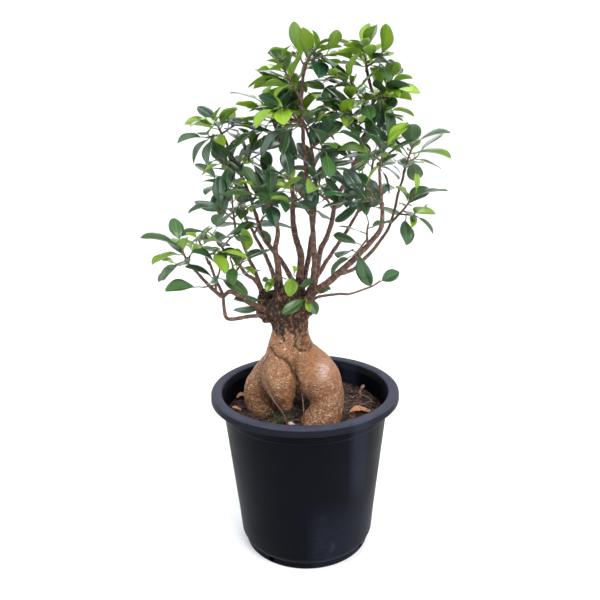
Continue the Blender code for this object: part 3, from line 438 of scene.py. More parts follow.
class Finish:
    """One material: a Principled shader and the nodes that feed it."""

    def __init__(self, name, **constants):
        self.material = bpy.data.materials.new(name)
        self.material.use_nodes = True
        self.tree = self.material.node_tree
        self.shader = self.tree.nodes["Principled BSDF"]
        for socket, value in constants.items():
            self.shader.inputs[socket.replace("_", " ")].default_value = value

    def node(self, kind, settings=None, sockets=None, output=0):
        """Any node: its settings first, then the values or links of its sockets, each by name or number."""
        node = self.tree.nodes.new("ShaderNode" + kind)
        for name, setting in (settings or {}).items():
            setattr(node, name, setting)
        for key, value in (sockets or {}).items():
            entry = node.inputs[key]
            if isinstance(value, Value):
                self.tree.links.new(value.socket, entry)
            elif entry.type == "RGBA":
                entry.default_value = (*value[:3], 1.0)
            else:
                entry.default_value = value
        return Value(self, node.outputs[output])

    def place(self, x=1.0, y=1.0, z=1.0):
        """The place on the object in millimetres, stretched along each axis."""
        spot = self.node("TexCoord", output="Object")
        return self.node("VectorMath", {"operation": "MULTIPLY"}, {0: spot, 1: (x / MM, y / MM, z / MM)})

    def along(self, axis):
        """One coordinate in millimetres: X to the right of the pot's middle, Z up from the ground."""
        return self.node("SeparateXYZ", sockets={"Vector": self.place()}, output=axis)

    def cloud(self, place, size, detail=3.0, roughness=0.55, distortion=0.0):
        """Soft noise between zero and one whose patches are about size millimetres across."""
        sockets = {"Vector": place, "Scale": 1.0 / size, "Detail": detail, "Roughness": roughness}
        return self.node("TexNoise", sockets={**sockets, "Distortion": distortion})

    def attribute(self, name):
        """A value that is stored at the mesh's points."""
        return self.node("Attribute", {"attribute_name": name}, output="Fac")

    def blend(self, factor, low, high):
        """A colour between two colours."""
        return self.node("Mix", {"data_type": "RGBA"}, {0: factor, 6: low, 7: high}, 2)

    def finish(self, colour, roughness=None, bump=None, depth=0.0003):
        """Link the colour, roughness and bump height to the shader."""
        self.tree.links.new(colour.socket, self.shader.inputs["Base Color"])
        if roughness:
            self.tree.links.new(roughness.socket, self.shader.inputs["Roughness"])
        if bump:
            normal = self.node("Bump", sockets={"Height": bump, "Distance": depth, "Strength": 1.0})
            self.tree.links.new(normal.socket, self.shader.inputs["Normal"])
        return self.material

    def let_light_through(self, colour, share):
        """Mix in the glow of a thin piece that is lit from behind."""
        glow = self.node("BsdfTranslucent", sockets={"Color": colour})
        sockets = {"Fac": share, 1: Value(self, self.shader.outputs[0]), 2: glow}
        surface = self.node("MixShader", sockets=sockets)
        self.tree.links.new(surface.socket, self.tree.nodes["Material Output"].inputs["Surface"])


def colour_prop(name, description, default):
    """A colour that the user can change."""
    return bpy.props.FloatVectorProperty(
        name=name, description=description, default=default, subtype="COLOR", size=3, min=0.0, max=1.0)


def length_prop(name, description, default):
    """A length that the user can change, from its default in millimetres."""
    return bpy.props.FloatProperty(
        name=name, description=description, default=default * MM, unit="LENGTH", subtype="DISTANCE", min=0.0,
        precision=5)


def share_prop(name, description, default):
    """A share between none and all."""
    return bpy.props.FloatProperty(
        name=name, description=description, default=default, subtype="FACTOR", min=0.0, max=1.0)


def count_prop(name, description, default):
    """A whole number of pieces or steps."""
    return bpy.props.IntProperty(name=name, description=description, default=default, min=0)


def light_prop(name, description, default, unit="POWER"):
    """The strength of a light."""
    return bpy.props.FloatProperty(name=name, description=description, default=default, unit=unit, min=0.0)


class BonsaiPot(bpy.types.PropertyGroup):
    """Sizes and colours of the nursery pot."""

    plastic: colour_prop("Plastic", "Colour of the moulded plastic", (0.0017, 0.0020, 0.0036))
    # The worn rim colour is partly rubbed, dusty plastic and partly a painted sky reflection.
    rim: colour_prop("Worn rim", "Colour where the rim is rubbed and dusty", (0.050, 0.053, 0.078))
    # This colour paints both the dried splashes and the painted sheen on the wall.
    dust_and_sheen_colour: colour_prop("Dust", "Colour of the dried splashes on the wall", (0.034, 0.040, 0.066))
    sides: count_prop("Steps", "Steps in one turn of the pot", 144)


class BonsaiSoil(bpy.types.PropertyGroup):
    """Colours and amounts of the soil and what lies on it."""

    dark: colour_prop("Damp soil", "Darkest colour of the coir", (0.012, 0.0075, 0.0065))
    pale: colour_prop("Dry crumbs", "Palest colour of the coir", (0.115, 0.070, 0.055))
    moss: colour_prop("Moss", "Colour of the moss under the legs", (0.060, 0.066, 0.022))
    dry: colour_prop("Dry leaf", "Colour of the fallen leaves", (0.34, 0.140, 0.062))
    crumbs: count_prop("Crumbs", "Number of loose crumbs", 2200)
    fibres: count_prop("Fibres", "Number of coir fibres", 1000)


class BonsaiRoot(bpy.types.PropertyGroup):
    """Grain and colours of the swollen root base."""

    voxel: length_prop("Grain", "Size of the faces that the limbs are grown together with", 1.05)
    tan: colour_prop("Tan bark", "Main colour of the smooth bark", (0.315, 0.138, 0.056))
    rust: colour_prop("Rusty bark", "Warmer colour low on the legs", (0.205, 0.068, 0.022))
    fleck: colour_prop("Pale marks", "Colour of the short raised marks", (0.66, 0.47, 0.30))
    burr: colour_prop("Burr bark", "Dark flaky bark of the graft", (0.035, 0.019, 0.014))


class BonsaiStems(bpy.types.PropertyGroup):
    """Bark of the stems and twigs."""

    bark: colour_prop("Bark", "Main colour of the stems", (0.105, 0.044, 0.028))
    shade: colour_prop("Dark bark", "Colour in the bark's furrows", (0.028, 0.015, 0.012))
    ring: colour_prop("Rings", "Colour of the rings and pores", (0.27, 0.145, 0.095))
    spacing: length_prop("Ring spacing", "Distance between two leaf scars along a stem", 9.0)


class BonsaiLeaves(bpy.types.PropertyGroup):
    """Colours and fullness of the leaves."""

    mature: colour_prop("Mature", "Colour of an old leaf", (0.007, 0.040, 0.021))
    lighter: colour_prop("Lighter", "Colour of a lighter old leaf", (0.020, 0.094, 0.030))
    young: colour_prop("Young", "Colour of a new leaf", (0.275, 0.460, 0.022))
    under: colour_prop("Underside", "Colour of a leaf's back", (0.045, 0.105, 0.048))
    infill: share_prop("Infill", "Extra leaves in the crown, as a share of the most that it takes", 0.95)
    thickness: length_prop("Thickness", "Thickness of a blade at its middle", 0.35)


class BonsaiStage(bpy.types.PropertyGroup):
    """Floor and light."""

    floor: colour_prop("Floor", "Colour of the pale floor", (0.93, 0.93, 0.935))
    sky: light_prop("Sky", "Strength of the even light", 0.72, "NONE")
    key: light_prop("Key", "Power of the main soft light", 24.0)
    fill: light_prop("Fill", "Power of the cool soft lights", 9.0)


def add_piece(name, points, faces, materials, nodes=(), sharp=None):
    """A mesh object that rides with the tree, from points in millimetres."""
    mesh = bpy.data.meshes.new(name)
    mesh.from_pydata([tuple(component * MM for component in point) for point in points], [], faces)
    return finish_piece(bpy.data.objects.new(name, mesh), materials, nodes, sharp)


def finish_piece(item, materials, nodes=(), sharp=None):
    """Give a mesh object its materials, its smooth shading, its body and the nodes that it stands for."""
    if item.name not in bpy.context.scene.collection.objects:
        bpy.context.scene.collection.objects.link(item)
    item.data.materials.clear()
    for material in materials:
        item.data.materials.append(material)
    item.data.shade_smooth()
    if sharp:
        item.data.set_sharp_from_angle(angle=math.radians(sharp))
    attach(item, "root")
    if nodes:
        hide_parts(*nodes)
    return item


def settled(item):
    """The object with its modifiers applied."""
    bpy.context.view_layer.update()
    mesh = bpy.data.meshes.new_from_object(item.evaluated_get(bpy.context.evaluated_depsgraph_get()))
    item.modifiers.clear()
    item.data = mesh
    return item


def built(name, work):
    """A linked object with the mesh that was built in a bmesh, which is freed."""
    mesh = bpy.data.meshes.new(name)
    work.to_mesh(mesh)
    work.free()
    item = bpy.data.objects.new(name, mesh)
    bpy.context.scene.collection.objects.link(item)
    return item


def ring_faces(first, rows, spokes, inward=False):
    """Quads between the rings of points that follow one another from the first point on."""
    quads = []
    for row in range(rows):
        low = first + row * spokes
        for k in range(spokes):
            after = (k + 1) % spokes
            a, b, c, d = low + k, low + after, low + spokes + after, low + spokes + k
            quads.append((a, d, c, b) if inward else (a, b, c, d))
    return quads


def smooth_route(points, step):
    """Points about a step apart along a smooth curve through the given points, of any dimension."""
    knots = [np.array(point, float) for point in points]
    knots = [2 * knots[0] - knots[1]] + knots + [2 * knots[-1] - knots[-2]]
    route = []
    for a, b, c, d in zip(knots, knots[1:], knots[2:], knots[3:]):
        count = max(1, round(float(np.linalg.norm(c[:3] - b[:3])) / step))
        for i in range(count):
            t = i / count
            route.append(0.5 * (2 * b + (c - a) * t + (2 * a - 5 * b + 4 * c - d) * t**2
                                + (3 * b - a - 3 * c + d) * t**3))
    route.append(knots[-2])
    return route


def add_tube(points, faces, route, radii, sides):
    """Add a closed round tube along a route to lists of points and faces."""
    route = [Vector(place[:3]) for place in route]
    first = len(points)
    side = (route[1] - route[0]).orthogonal().normalized()
    for i, (place, radius) in enumerate(zip(route, radii)):
        ahead = (route[min(i + 1, len(route) - 1)] - route[max(i - 1, 0)]).normalized()
        side = (side - ahead * side.dot(ahead)).normalized()
        other = ahead.cross(side)
        for k in range(sides):
            angle = math.tau * k / sides
            points.append(place + (side * math.cos(angle) + other * math.sin(angle)) * radius)
    faces += ring_faces(first, len(route) - 1, sides)
    faces.append(tuple(range(first + sides - 1, first - 1, -1)))
    faces.append(tuple(range(len(points) - sides, len(points))))


# An icosahedron: the long side of its golden rectangles, and its faces
GOLDEN = (1 + math.sqrt(5)) / 2
GRAIN_TRIANGLES = (
    (0, 11, 5), (0, 5, 1), (0, 1, 7), (0, 7, 10), (0, 10, 11), (1, 5, 9), (5, 11, 4), (11, 10, 2), (10, 7, 6),
    (7, 1, 8), (3, 9, 4), (3, 4, 2), (3, 2, 6), (3, 6, 8), (3, 8, 9), (4, 9, 5), (2, 4, 11), (6, 2, 10),
    (8, 6, 7), (9, 8, 1),
)


def add_grain(points, faces, place, size, turn, draw):
    """Add one small uneven lump to lists of points and faces."""
    first = len(points)
    corners = [(-1, GOLDEN, 0), (1, GOLDEN, 0), (-1, -GOLDEN, 0), (1, -GOLDEN, 0)]
    corners += [(0, -1, GOLDEN), (0, 1, GOLDEN), (0, -1, -GOLDEN), (0, 1, -GOLDEN)]
    corners += [(GOLDEN, 0, -1), (GOLDEN, 0, 1), (-GOLDEN, 0, -1), (-GOLDEN, 0, 1)]
    for corner in corners:
        offset = Vector([a * b * draw.uniform(0.35, 0.6) for a, b in zip(corner, size)])
        points.append(Vector(place) + turn @ offset)
    faces += [tuple(first + corner for corner in triangle) for triangle in GRAIN_TRIANGLES]


def any_turn(draw):
    """A random rotation."""
    angles = [draw.uniform(0, math.tau), draw.uniform(0, math.pi), draw.uniform(0, math.tau)]
    first, second, third = (Matrix.Rotation(angle, 3, axis) for angle, axis in zip(angles, "ZXZ"))
    return first @ second @ third


# --- Pot ---


def pot_plastic(settings):
    """Black moulded plastic: a rubbed, dusty rim with a painted sky reflection, fine scuffs round the wall,
    dried splashes low down, and a painted sheen band and reflection patch on the wall.
    """
    finish = Finish("pot_plastic", Roughness=0.36, Specular_IOR_Level=0.03)
    high = finish.along("Z")
    broad = finish.cloud(finish.place(), 26.0)
    speckle = finish.cloud(finish.place(), 1.1, 4.0)
    scuff = finish.cloud(finish.place(0.05, 0.05, 1.6), 1.0, 2.0)
    # The rim's top, and faintly its lip, take the worn rim colour: rubbed, dusty plastic and a painted sky
    # reflection.
    upper = high.between(POT_HEIGHT - 2.6, POT_HEIGHT - 0.8)
    painted_sheen_mask = upper * (0.62 + 0.9 * (speckle - 0.45) + 0.7 * (broad - 0.5))
    lip = high.between(POT_HEIGHT - LIP_HEIGHT - 1.0, POT_HEIGHT - LIP_HEIGHT) * 0.16
    streaks = scuff.between(0.60, 0.74) * broad.between(0.46, 0.66)
    splash = finish.cloud(finish.place(1.0, 1.0, 0.35), 14.0, 5.0, 0.7).between(0.54, 0.78)
    low = high.smooth(20.0, 120.0, 1.0, 0.15)
    across = finish.along("X")
    # Painted sheen: a lighter, bluish band up the right of the wall and a paler patch low on the front stand
    # in for reflected light.
    painted_sheen_band = across.between(40.0, 50.0) * across.smooth(56.0, 66.0, 1.0, 0.0) * high.between(58.0, 110.0)
    painted_reflection_patch = across.between(-6.0, 14.0) * high.smooth(36.0, 92.0, 1.0, 0.0)
    # Share of the dust colour: real dust, scuffs and splashes, plus the painted sheen band and reflection
    # patch.
    dust_and_sheen_share = (painted_sheen_band * 0.26 + painted_reflection_patch * 0.16 + 0.03) * (0.35 + 1.3 * scuff)
    dust_and_sheen_share = dust_and_sheen_share + (0.15 + 0.85 * painted_reflection_patch) * (0.5 * streaks * low + 0.5 * splash * low)
    body = finish.blend(dust_and_sheen_share, settings.plastic, settings.dust_and_sheen_colour)
    colour = finish.blend(painted_sheen_mask.between(0.05, 1.0) + lip, body, settings.rim)
    roughness = 0.33 + 0.16 * broad + 0.22 * splash * low + 0.14 * streaks
    return finish.finish(colour, roughness, 0.5 * scuff + 0.35 * speckle + 0.8 * broad, 0.00012)


def wall_radius(height):
    """Outer radius of the pot's tapering body at a height."""
    share = (height - BODY_LOW_HEIGHT) / (POT_HEIGHT - BODY_LOW_HEIGHT)
    return BODY_LOW_RADIUS + share * (BODY_TOP_RADIUS - BODY_LOW_RADIUS)


def rounded(profile, steps=5):
    """A profile whose corners, each (radius, height, rounding), are turned into short arcs."""
    line = []
    for before, corner, after in zip([profile[0]] + profile, profile, profile[1:] + [profile[-1]]):
        here = Vector(corner[:2])
        size = corner[2] if len(corner) > 2 else 0.0
        if not size:
            line.append(tuple(here))
            continue
        start = here + (Vector(before[:2]) - here).normalized() * size
        end = here + (Vector(after[:2]) - here).normalized() * size
        for i in range(steps + 1):
            t = i / steps
            line.append(tuple(start * (1 - t) ** 2 + here * 2 * t * (1 - t) + end * t**2))
    return line


def pot_profile():
    """The pot's wall as one closed line, from the middle of its floor over the rim and back underneath."""
    lip_low = POT_HEIGHT - LIP_HEIGHT
    band = wall_radius(BAND_HEIGHT)
    return rounded([
        (0.0, WALL), (PAD_RADIUS - WALL, WALL, 0.8), (PAD_RADIUS + WALL, FLOOR_HEIGHT + WALL, 0.8),
        (FLOOR_RADIUS - 1.0, FLOOR_HEIGHT + WALL, 0.8), (FLOOR_RADIUS + 2.5, WALL, 0.8),
        (FOOT_RADIUS - WALL - 0.5, WALL, 0.6), (FOOT_RADIUS - WALL, 3.5), (BODY_LOW_RADIUS - WALL, 14.0),
        (wall_radius(lip_low) - WALL, lip_low), (BODY_TOP_RADIUS - 0.8, POT_HEIGHT - 0.9, 1.4),
        (BODY_TOP_RADIUS + 2.4, POT_HEIGHT - 0.15, 1.2), (RIM_RADIUS - 3.0, POT_HEIGHT, 1.2),
        (RIM_RADIUS - 0.3, POT_HEIGHT - 0.6, 1.8), (RIM_RADIUS, lip_low, 0.7),
        (RIM_RADIUS - LIP_WALL, lip_low, 0.7), (RIM_RADIUS - LIP_WALL, POT_HEIGHT - WALL, 0.8),
        (BODY_TOP_RADIUS + 1.2, POT_HEIGHT - WALL, 1.4), (wall_radius(lip_low) + 0.5, lip_low),
        (band + 0.6, BAND_HEIGHT + 0.4, 0.4), (band, BAND_HEIGHT - 0.6, 0.4),
        (wall_radius(38.0), 38.0), (BODY_LOW_RADIUS + 0.5, BODY_LOW_HEIGHT + 1.0, 1.5),
        (BODY_LOW_RADIUS - 2.0, 8.2, 1.0), (FOOT_RADIUS + 0.2, 7.0, 0.6), (FOOT_RADIUS, 0.0, 0.9),
        (FLOOR_RADIUS + 2.0, 0.0, 0.8), (FLOOR_RADIUS, FLOOR_HEIGHT, 0.8),
        (PAD_RADIUS + 3.0, FLOOR_HEIGHT, 0.8), (PAD_RADIUS, 0.0, 0.8), (0.0, 0.0),
    ])


class BONSAI_OT_pot(bpy.types.Operator):
    """Turn the nursery pot and drill its drain holes"""

    bl_idname = "bonsai.pot"
    bl_label = "Pot"

    def execute(self, context):
        settings = context.scene.bonsai_pot
        line = [(radius * MM, 0.0, height * MM) for radius, height in pot_profile()]
        mesh = bpy.data.meshes.new("nursery_pot")
        mesh.from_pydata(line, [(i, i + 1) for i in range(len(line) - 1)], [])
        pot = bpy.data.objects.new("nursery_pot", mesh)
        context.scene.collection.objects.link(pot)
        turn = pot.modifiers.new("turn", "SCREW")
        turn.steps = turn.render_steps = settings.sides
        turn.use_merge_vertices = True
        turn.merge_threshold = MERGE
        settled(pot)
        drills = [self.drill(i) for i in range(DRAIN_HOLES)]
        for drill in drills:
            cut = pot.modifiers.new("drain", "BOOLEAN")
            cut.object = drill
        settled(pot)
        for drill in drills:
            bpy.data.objects.remove(drill)
        finish_piece(pot, [pot_plastic(settings)], ["pot"], 42.0)
        return {"FINISHED"}

    def drill(self, index):
        """A cutter for one drain hole through the pot's lower corner."""
        work = bmesh.new()
        place = Matrix.Translation(Vector((FOOT_RADIUS + 2, 0, DRAIN_HEIGHT)) * MM)
        lying = place @ Matrix.Rotation(math.radians(90), 4, "Y")
        radius = DRAIN_RADIUS * MM
        bmesh.ops.create_cone(work, cap_ends=True, segments=24, radius1=radius, radius2=radius,
                              depth=DRILL_LENGTH * MM, matrix=lying)
        angle = math.radians(DRAIN_ANGLE + index * 360.0 / DRAIN_HOLES)
        bmesh.ops.rotate(work, verts=work.verts, cent=(0, 0, 0), matrix=Matrix.Rotation(angle, 3, "Z"))
        return built("drill", work)


# --- Soil and what lies on it ---


def soil_height(x, y):
    """Height of the soil's top: a low crown with gentle lumps."""
    away = math.hypot(x, y) / BODY_TOP_RADIUS
    lumps = 0.8 * math.sin(x * 0.13 + 1.0) * math.cos(y * 0.11)
    lumps += 0.5 * math.sin(x * 0.31) * math.sin(y * 0.27 + 2.0)
    return SOIL_HEIGHT + SOIL_CROWN * (1.0 - away * away) + lumps * (1.0 - away**4)


def clear_of_legs(x, y, spare=-2.0):
    """Whether a spot on the soil is outside the legs that go down into it."""
    for row in ROOT_ROWS[1:]:
        for ball in row:
            if ball[2] < LEG_LEVEL and math.hypot(x - ball[0], y - ball[1]) < ball[3] + spare:
                return False
    return True


def soil_spot(draw, reach):
    """A random open spot on the soil."""
    while True:
        angle = draw.uniform(0, math.tau)
        away = reach * math.sqrt(draw.random())
        x, y = away * math.cos(angle), away * math.sin(angle)
        if clear_of_legs(x, y):
            return x, y


def coir(settings):
    """Dark damp coir and peat with paler dry crumbs."""
    finish = Finish("coir", Roughness=0.9, Specular_IOR_Level=0.25)
    fine = finish.cloud(finish.place(), 1.4, 4.0, 0.65)
    patch = finish.cloud(finish.place(), 11.0)
    tone = 0.62 * fine + 0.38 * patch
    colour = finish.blend(tone.between(0.38, 0.68), settings.dark, settings.pale)
    return finish.finish(colour, 0.98 - 0.3 * patch, fine, 0.0008)


def speckled(name, low, high, size=1.0, roughness=0.8):
    """A plain two-tone natural finish."""
    finish = Finish(name, Roughness=roughness)
    fine = finish.cloud(finish.place(), size, 4.0, 0.6)
    colour = finish.blend(fine.between(0.3, 0.7), low, high)
    return finish.finish(colour, roughness - 0.15 + 0.3 * fine, fine, 0.0003)


def dry_leaf_finish(settings):
    """Brittle brown leaf with darker spots and paler veins."""
    finish = Finish("dry_leaf", Roughness=0.72)
    broad = finish.cloud(finish.place(), 4.5)
    spots = finish.cloud(finish.place(), 0.9, 4.0)
    colour = finish.blend(broad.between(0.3, 0.7), settings.dry, shade(settings.dry, 1.5, 0.05))
    colour = finish.blend(spots.between(0.56, 0.7), colour, shade(settings.dry, 0.42))
    return finish.finish(colour, 0.6 + 0.3 * broad, spots, 0.0003)


class BONSAI_OT_soil(bpy.types.Operator):
    """Fill the pot with coir and scatter crumbs, fibres, moss, a pebble and rootlets on it"""

    bl_idname = "bonsai.soil"
    bl_label = "Soil"

    def execute(self, context):
        settings = context.scene.bonsai_soil
        draw = random.Random(5)
        bark = coir(settings)
        self.bed(bark)
        self.crumbs(settings, draw, bark)
        self.fibres(settings, draw)
        self.moss(settings, draw)
        self.pebbles()
        self.rootlets()
        return {"FINISHED"}

    def bed(self, bark):
        """The soil's body with a lumpy top."""
        rings, spokes = 54, 168
        reach = wall_radius(SOIL_HEIGHT) - WALL
        points = []
        for ring in range(rings + 1):
            away = reach * ring / rings
            for spoke in range(spokes):
                angle = math.tau * spoke / spokes
                x, y = away * math.cos(angle), away * math.sin(angle)
                rough = noise.turbulence(Vector((x, y, 3.0)) * 0.42, 3, False) * 1.9
                rough += noise.noise(Vector((x, y, 0.0)) * 0.09) * 1.4
                points.append((x, y, soil_height(x, y) + rough - 1.4))
        skirt = (BODY_LOW_RADIUS - WALL - 0.4, 16.0)
        bottom = (FLOOR_RADIUS + 2, FLOOR_HEIGHT + WALL + 0.3)
        for radius, height in (skirt, bottom):
            for spoke in range(spokes):
                angle = math.tau * spoke / spokes
                points.append((radius * math.cos(angle), radius * math.sin(angle), height))
        faces = ring_faces(0, rings + 2, spokes, inward=True)
        faces.append(tuple(reversed(range(len(points) - spokes, len(points)))))
        item = add_piece("soil_bed", points, faces, [bark], ["soil"])
        work = bmesh.new()
        work.from_mesh(item.data)
        bmesh.ops.remove_doubles(work, verts=work.verts, dist=MERGE)
        work.to_mesh(item.data)
        work.free()

    def crumbs(self, settings, draw, bark):
        """Loose crumbs and chips."""
        points, faces = [], []
        for _ in range(settings.crumbs):
            x, y = soil_spot(draw, wall_radius(SOIL_HEIGHT) - WALL - 2.5)
            size = draw.uniform(0.5, 1.5) * (1.7 if draw.random() < 0.12 else 1.0)
            shape = (size * draw.uniform(0.9, 2.2), size, size * draw.uniform(0.5, 1.0))
            height = soil_height(x, y) + draw.uniform(-0.6, 1.0)
            add_grain(points, faces, (x, y, height), shape, any_turn(draw), draw)
        add_piece("soil_crumbs", points, faces, [bark])

    def fibres(self, settings, draw):
        """Thin coir fibres that lie in loose curves."""
        points, faces = [], []
        for _ in range(settings.fibres):
            x, y = soil_spot(draw, wall_radius(SOIL_HEIGHT) - WALL - 8.0)
            turn = draw.uniform(0, math.tau)
            bend = draw.uniform(-0.5, 0.5)
            step = draw.uniform(1.4, 3.2)
            route = []
            for i in range(5):
                lift = soil_height(x, y) + 0.6 + 1.6 * math.sin(math.pi * i / 4) * draw.random()
                route.append((x, y, lift))
                x += step * math.cos(turn)
                y += step * math.sin(turn)
                turn += bend
            radius = draw.uniform(0.14, 0.42)
            add_tube(points, faces, route, [radius * 0.6, radius, radius, radius, radius * 0.5], 4)
        fibre = speckled("fibre", (0.026, 0.016, 0.013), (0.24, 0.145, 0.110), 5.0)
        add_piece("soil_fibres", points, faces, [fibre])

    def moss(self, settings, draw):
        """Two cushions of moss beside the middle leg."""
        points, faces = [], []
        for x0, y0, reach, count in MOSS_CUSHIONS:
            for _ in range(count):
                x = x0 + draw.gauss(0, reach * 0.45)
                y = y0 + draw.gauss(0, reach * 0.30)
                size = draw.uniform(0.5, 1.1)
                height = soil_height(x, y) + draw.uniform(0.2, 2.0)
                add_grain(points, faces, (x, y, height), (size, size, size * 1.6), any_turn(draw), draw)
        tufts = speckled("moss", shade(settings.moss, 0.28), settings.moss, 2.5, 0.9)
        add_piece("moss", points, faces, [tufts])

    def pebbles(self):
        """A pale pebble and a few grains of grit."""
        work = bmesh.new()
        for x, y, radius in PEBBLES:
            made = bmesh.ops.create_icosphere(work, subdivisions=3, radius=radius * MM)
            for vertex in made["verts"]:
                lump = 1.0 + 0.22 * noise.noise(vertex.co * 380.0 + Vector((x, y, 0)))
                squashed = Vector((vertex.co.x * 1.25, vertex.co.y, vertex.co.z * 0.7)) * lump
                vertex.co = squashed + Vector((x, y, soil_height(x, y) + radius * 0.4)) * MM
        stone = speckled("pebble", (0.42, 0.27, 0.24), (0.72, 0.60, 0.56), 1.0, 0.6)
        finish_piece(built("pebbles", work), [stone])

    def rootlets(self):
        """Pinkish rootlets and a bit of dry stalk that stick out of the soil."""
        points, faces = [], []
        for points_of_route in ROOTLETS:
            route = smooth_route(points_of_route, 1.6)
            radii = [0.5 + 0.12 * math.sin(i * 1.7) for i in range(len(route))]
            add_tube(points, faces, route, radii, 6)
        stalk = smooth_route(STALK, 1.2)
        add_tube(points, faces, stalk, [1.5 - 0.5 * math.sin(i * 0.9) for i in range(len(stalk))], 7)
        root = speckled("rootlet", (0.16, 0.075, 0.055), (0.40, 0.22, 0.17), 3.0)
        add_piece("rootlets", points, faces, [root])


class BONSAI_OT_fallen_leaves(bpy.types.Operator):
    """Lay the dry, crumpled leaves on the soil"""

    bl_idname = "bonsai.fallen_leaves"
    bl_label = "Fallen leaves"

    def execute(self, context):
        dry = dry_leaf_finish(context.scene.bonsai_soil)
        for i, (x, y, turn, length, width, curl) in enumerate(FALLEN_LEAVES):
            node = f"fallen_leaf_{i + 1}"
            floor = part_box(node)[0].z / MM
            self.leaf(node, floor, x, y, turn, length, width, curl, dry)
        return {"FINISHED"}

    def leaf(self, node, floor, x, y, turn, length, width, curl, dry):
        """One crumpled blade with a torn edge, resting at the height of its CAD solid."""
        rows, columns = 26, 12
        spin = Matrix.Rotation(math.radians(turn), 3, "Z")
        points = []
        for side in (0.25, -0.25):
            for row in range(rows + 1):
                along = row / rows
                for column in range(columns + 1):
                    across = column / columns * 2 - 1
                    tear = 1.0 + 0.22 * noise.noise(Vector((along * 9, across, floor)))
                    half = width * blade_outline(min(max(along, 0.02), 0.985)) * tear
                    crumple = 1.5 * noise.noise(Vector((along * 5, across * 2.2, x)))
                    crumple += 0.5 * noise.noise(Vector((along * 14, across * 6, y)))
                    bend = 2.4 * curl * across**2 * half / 4 + 1.6 * math.sin(along * 5.0) + crumple
                    spot = Vector(((along - 0.5) * length, across * half, bend + side))
                    points.append(spin @ spot + Vector((x, y, 0)))
        lowest = min(point.z for point in points)
        points = [point + Vector((0, 0, floor - lowest)) for point in points]
        width_count = columns + 1
        top_count = (rows + 1) * width_count
        faces = []
        for row in range(rows):
            for column in range(columns):
                a = row * width_count + column
                quad = (a, a + width_count, a + width_count + 1, a + 1)
                faces.append(quad)
                faces.append(tuple(top_count + corner for corner in reversed(quad)))
        rim = [column for column in range(width_count)]
        rim += [row * width_count + columns for row in range(1, rows + 1)]
        rim += [rows * width_count + column for column in range(columns - 1, -1, -1)]
        rim += [row * width_count for row in range(rows - 1, 0, -1)]
        for a, b in zip(rim, rim[1:] + rim[:1]):
            faces.append((a, b, top_count + b, top_count + a))
        add_piece(node + "_blade", points, faces, [dry], [node])


# --- Root base ---


def root_bark(settings):
    """Smooth tan bark with short pale marks, rustier low down, under a dark flaky burr, with a painted
    highlight on the right shoulder and painted shade in the crevices.
    """
    finish = Finish("root_bark", Roughness=0.5, Specular_IOR_Level=0.45)
    high, across = finish.along("Z"), finish.along("X")
    broad = finish.cloud(finish.place(), 24.0)
    patch = finish.cloud(finish.place(), 7.0)
    rust = high.smooth(*RUSTY, 0.65, 0.0) + (broad - 0.45) * 1.9 + (patch - 0.5) * 1.1
    skin = finish.blend(rust.between(0.05, 0.9), settings.tan, settings.rust)
    worm = finish.cloud(finish.place(0.75, 0.75, 1.5), 2.7, 1.0, 0.5, 0.8)
    lines = abs(worm - 0.5).smooth(0.016, 0.050, 1.0, 0.0)
    gaps = finish.cloud(finish.place(), 3.4, 1.0).between(0.34, 0.50)
    shoulder = high.between(*SHOULDER) * across.between(-8.0, 4.0)
    fleck = lines * gaps * (patch * 0.8 + 0.45).between(0.35, 0.80) * (1.0 - 0.75 * shoulder)
    grain = finish.cloud(finish.place(), 1.7, 3.0).between(0.40, 0.66)
    colour = finish.blend(grain * 0.55, skin, settings.rust)
    colour = finish.blend(fleck * 0.95, colour, settings.fleck)
    # Painted highlight: a pale patch on the right shoulder stands in for the sky's reflection there.
    painted_sheen_mask = across.between(8.0, 19.0) * across.smooth(19.0, 30.0, 1.0, 0.0)
    painted_sheen_mask = painted_sheen_mask * high.between(192.0, 206.0) * high.smooth(207.0, 219.0, 1.0, 0.0)
    colour = finish.blend(painted_sheen_mask * 0.55, colour, (0.66, 0.50, 0.44))
    furrow = finish.cloud(finish.place(1.0, 1.0, 2.6), 4.6, 3.0, 0.6, 0.6)
    furrow = abs(furrow - 0.5).smooth(0.0, 0.035, 1.0, 0.0)
    colour = finish.blend(furrow * 0.45, colour, shade(settings.rust, 0.45))
    # Painted shade: the crease and the scar's hollow and groove are darkened.
    colour = finish.blend(finish.attribute("crevice"), colour, shade(settings.rust, 0.16))
    flake = finish.cloud(finish.place(1.3, 1.3, 0.8), 5.0, 5.0, 0.65)
    drift = (flake - 0.5) * 44.0 + (patch - 0.5) * 22.0
    edge = (high + drift).between(BURR_HEIGHT - 5.0, BURR_HEIGHT + 3.0)
    scraps = finish.cloud(finish.place(1.4, 1.4, 0.7), 3.2, 4.0, 0.6)
    orange = finish.blend(scraps.between(0.50, 0.60), settings.burr, (0.30, 0.135, 0.062))
    burr = finish.blend(flake.between(0.42, 0.62), orange, shade(settings.burr, 0.35))
    colour = finish.blend(edge, colour, burr)
    green = high.smooth(150.0, 163.0, 0.55, 0.0) * patch
    colour = finish.blend(green, colour, (0.075, 0.072, 0.025))
    roughness = 0.44 + 0.22 * patch + 0.3 * edge - 0.1 * fleck
    bump = 0.55 * fleck - 0.5 * furrow + 0.35 * broad + 1.6 * edge * flake
    return finish.finish(colour, roughness, bump, 0.0007)


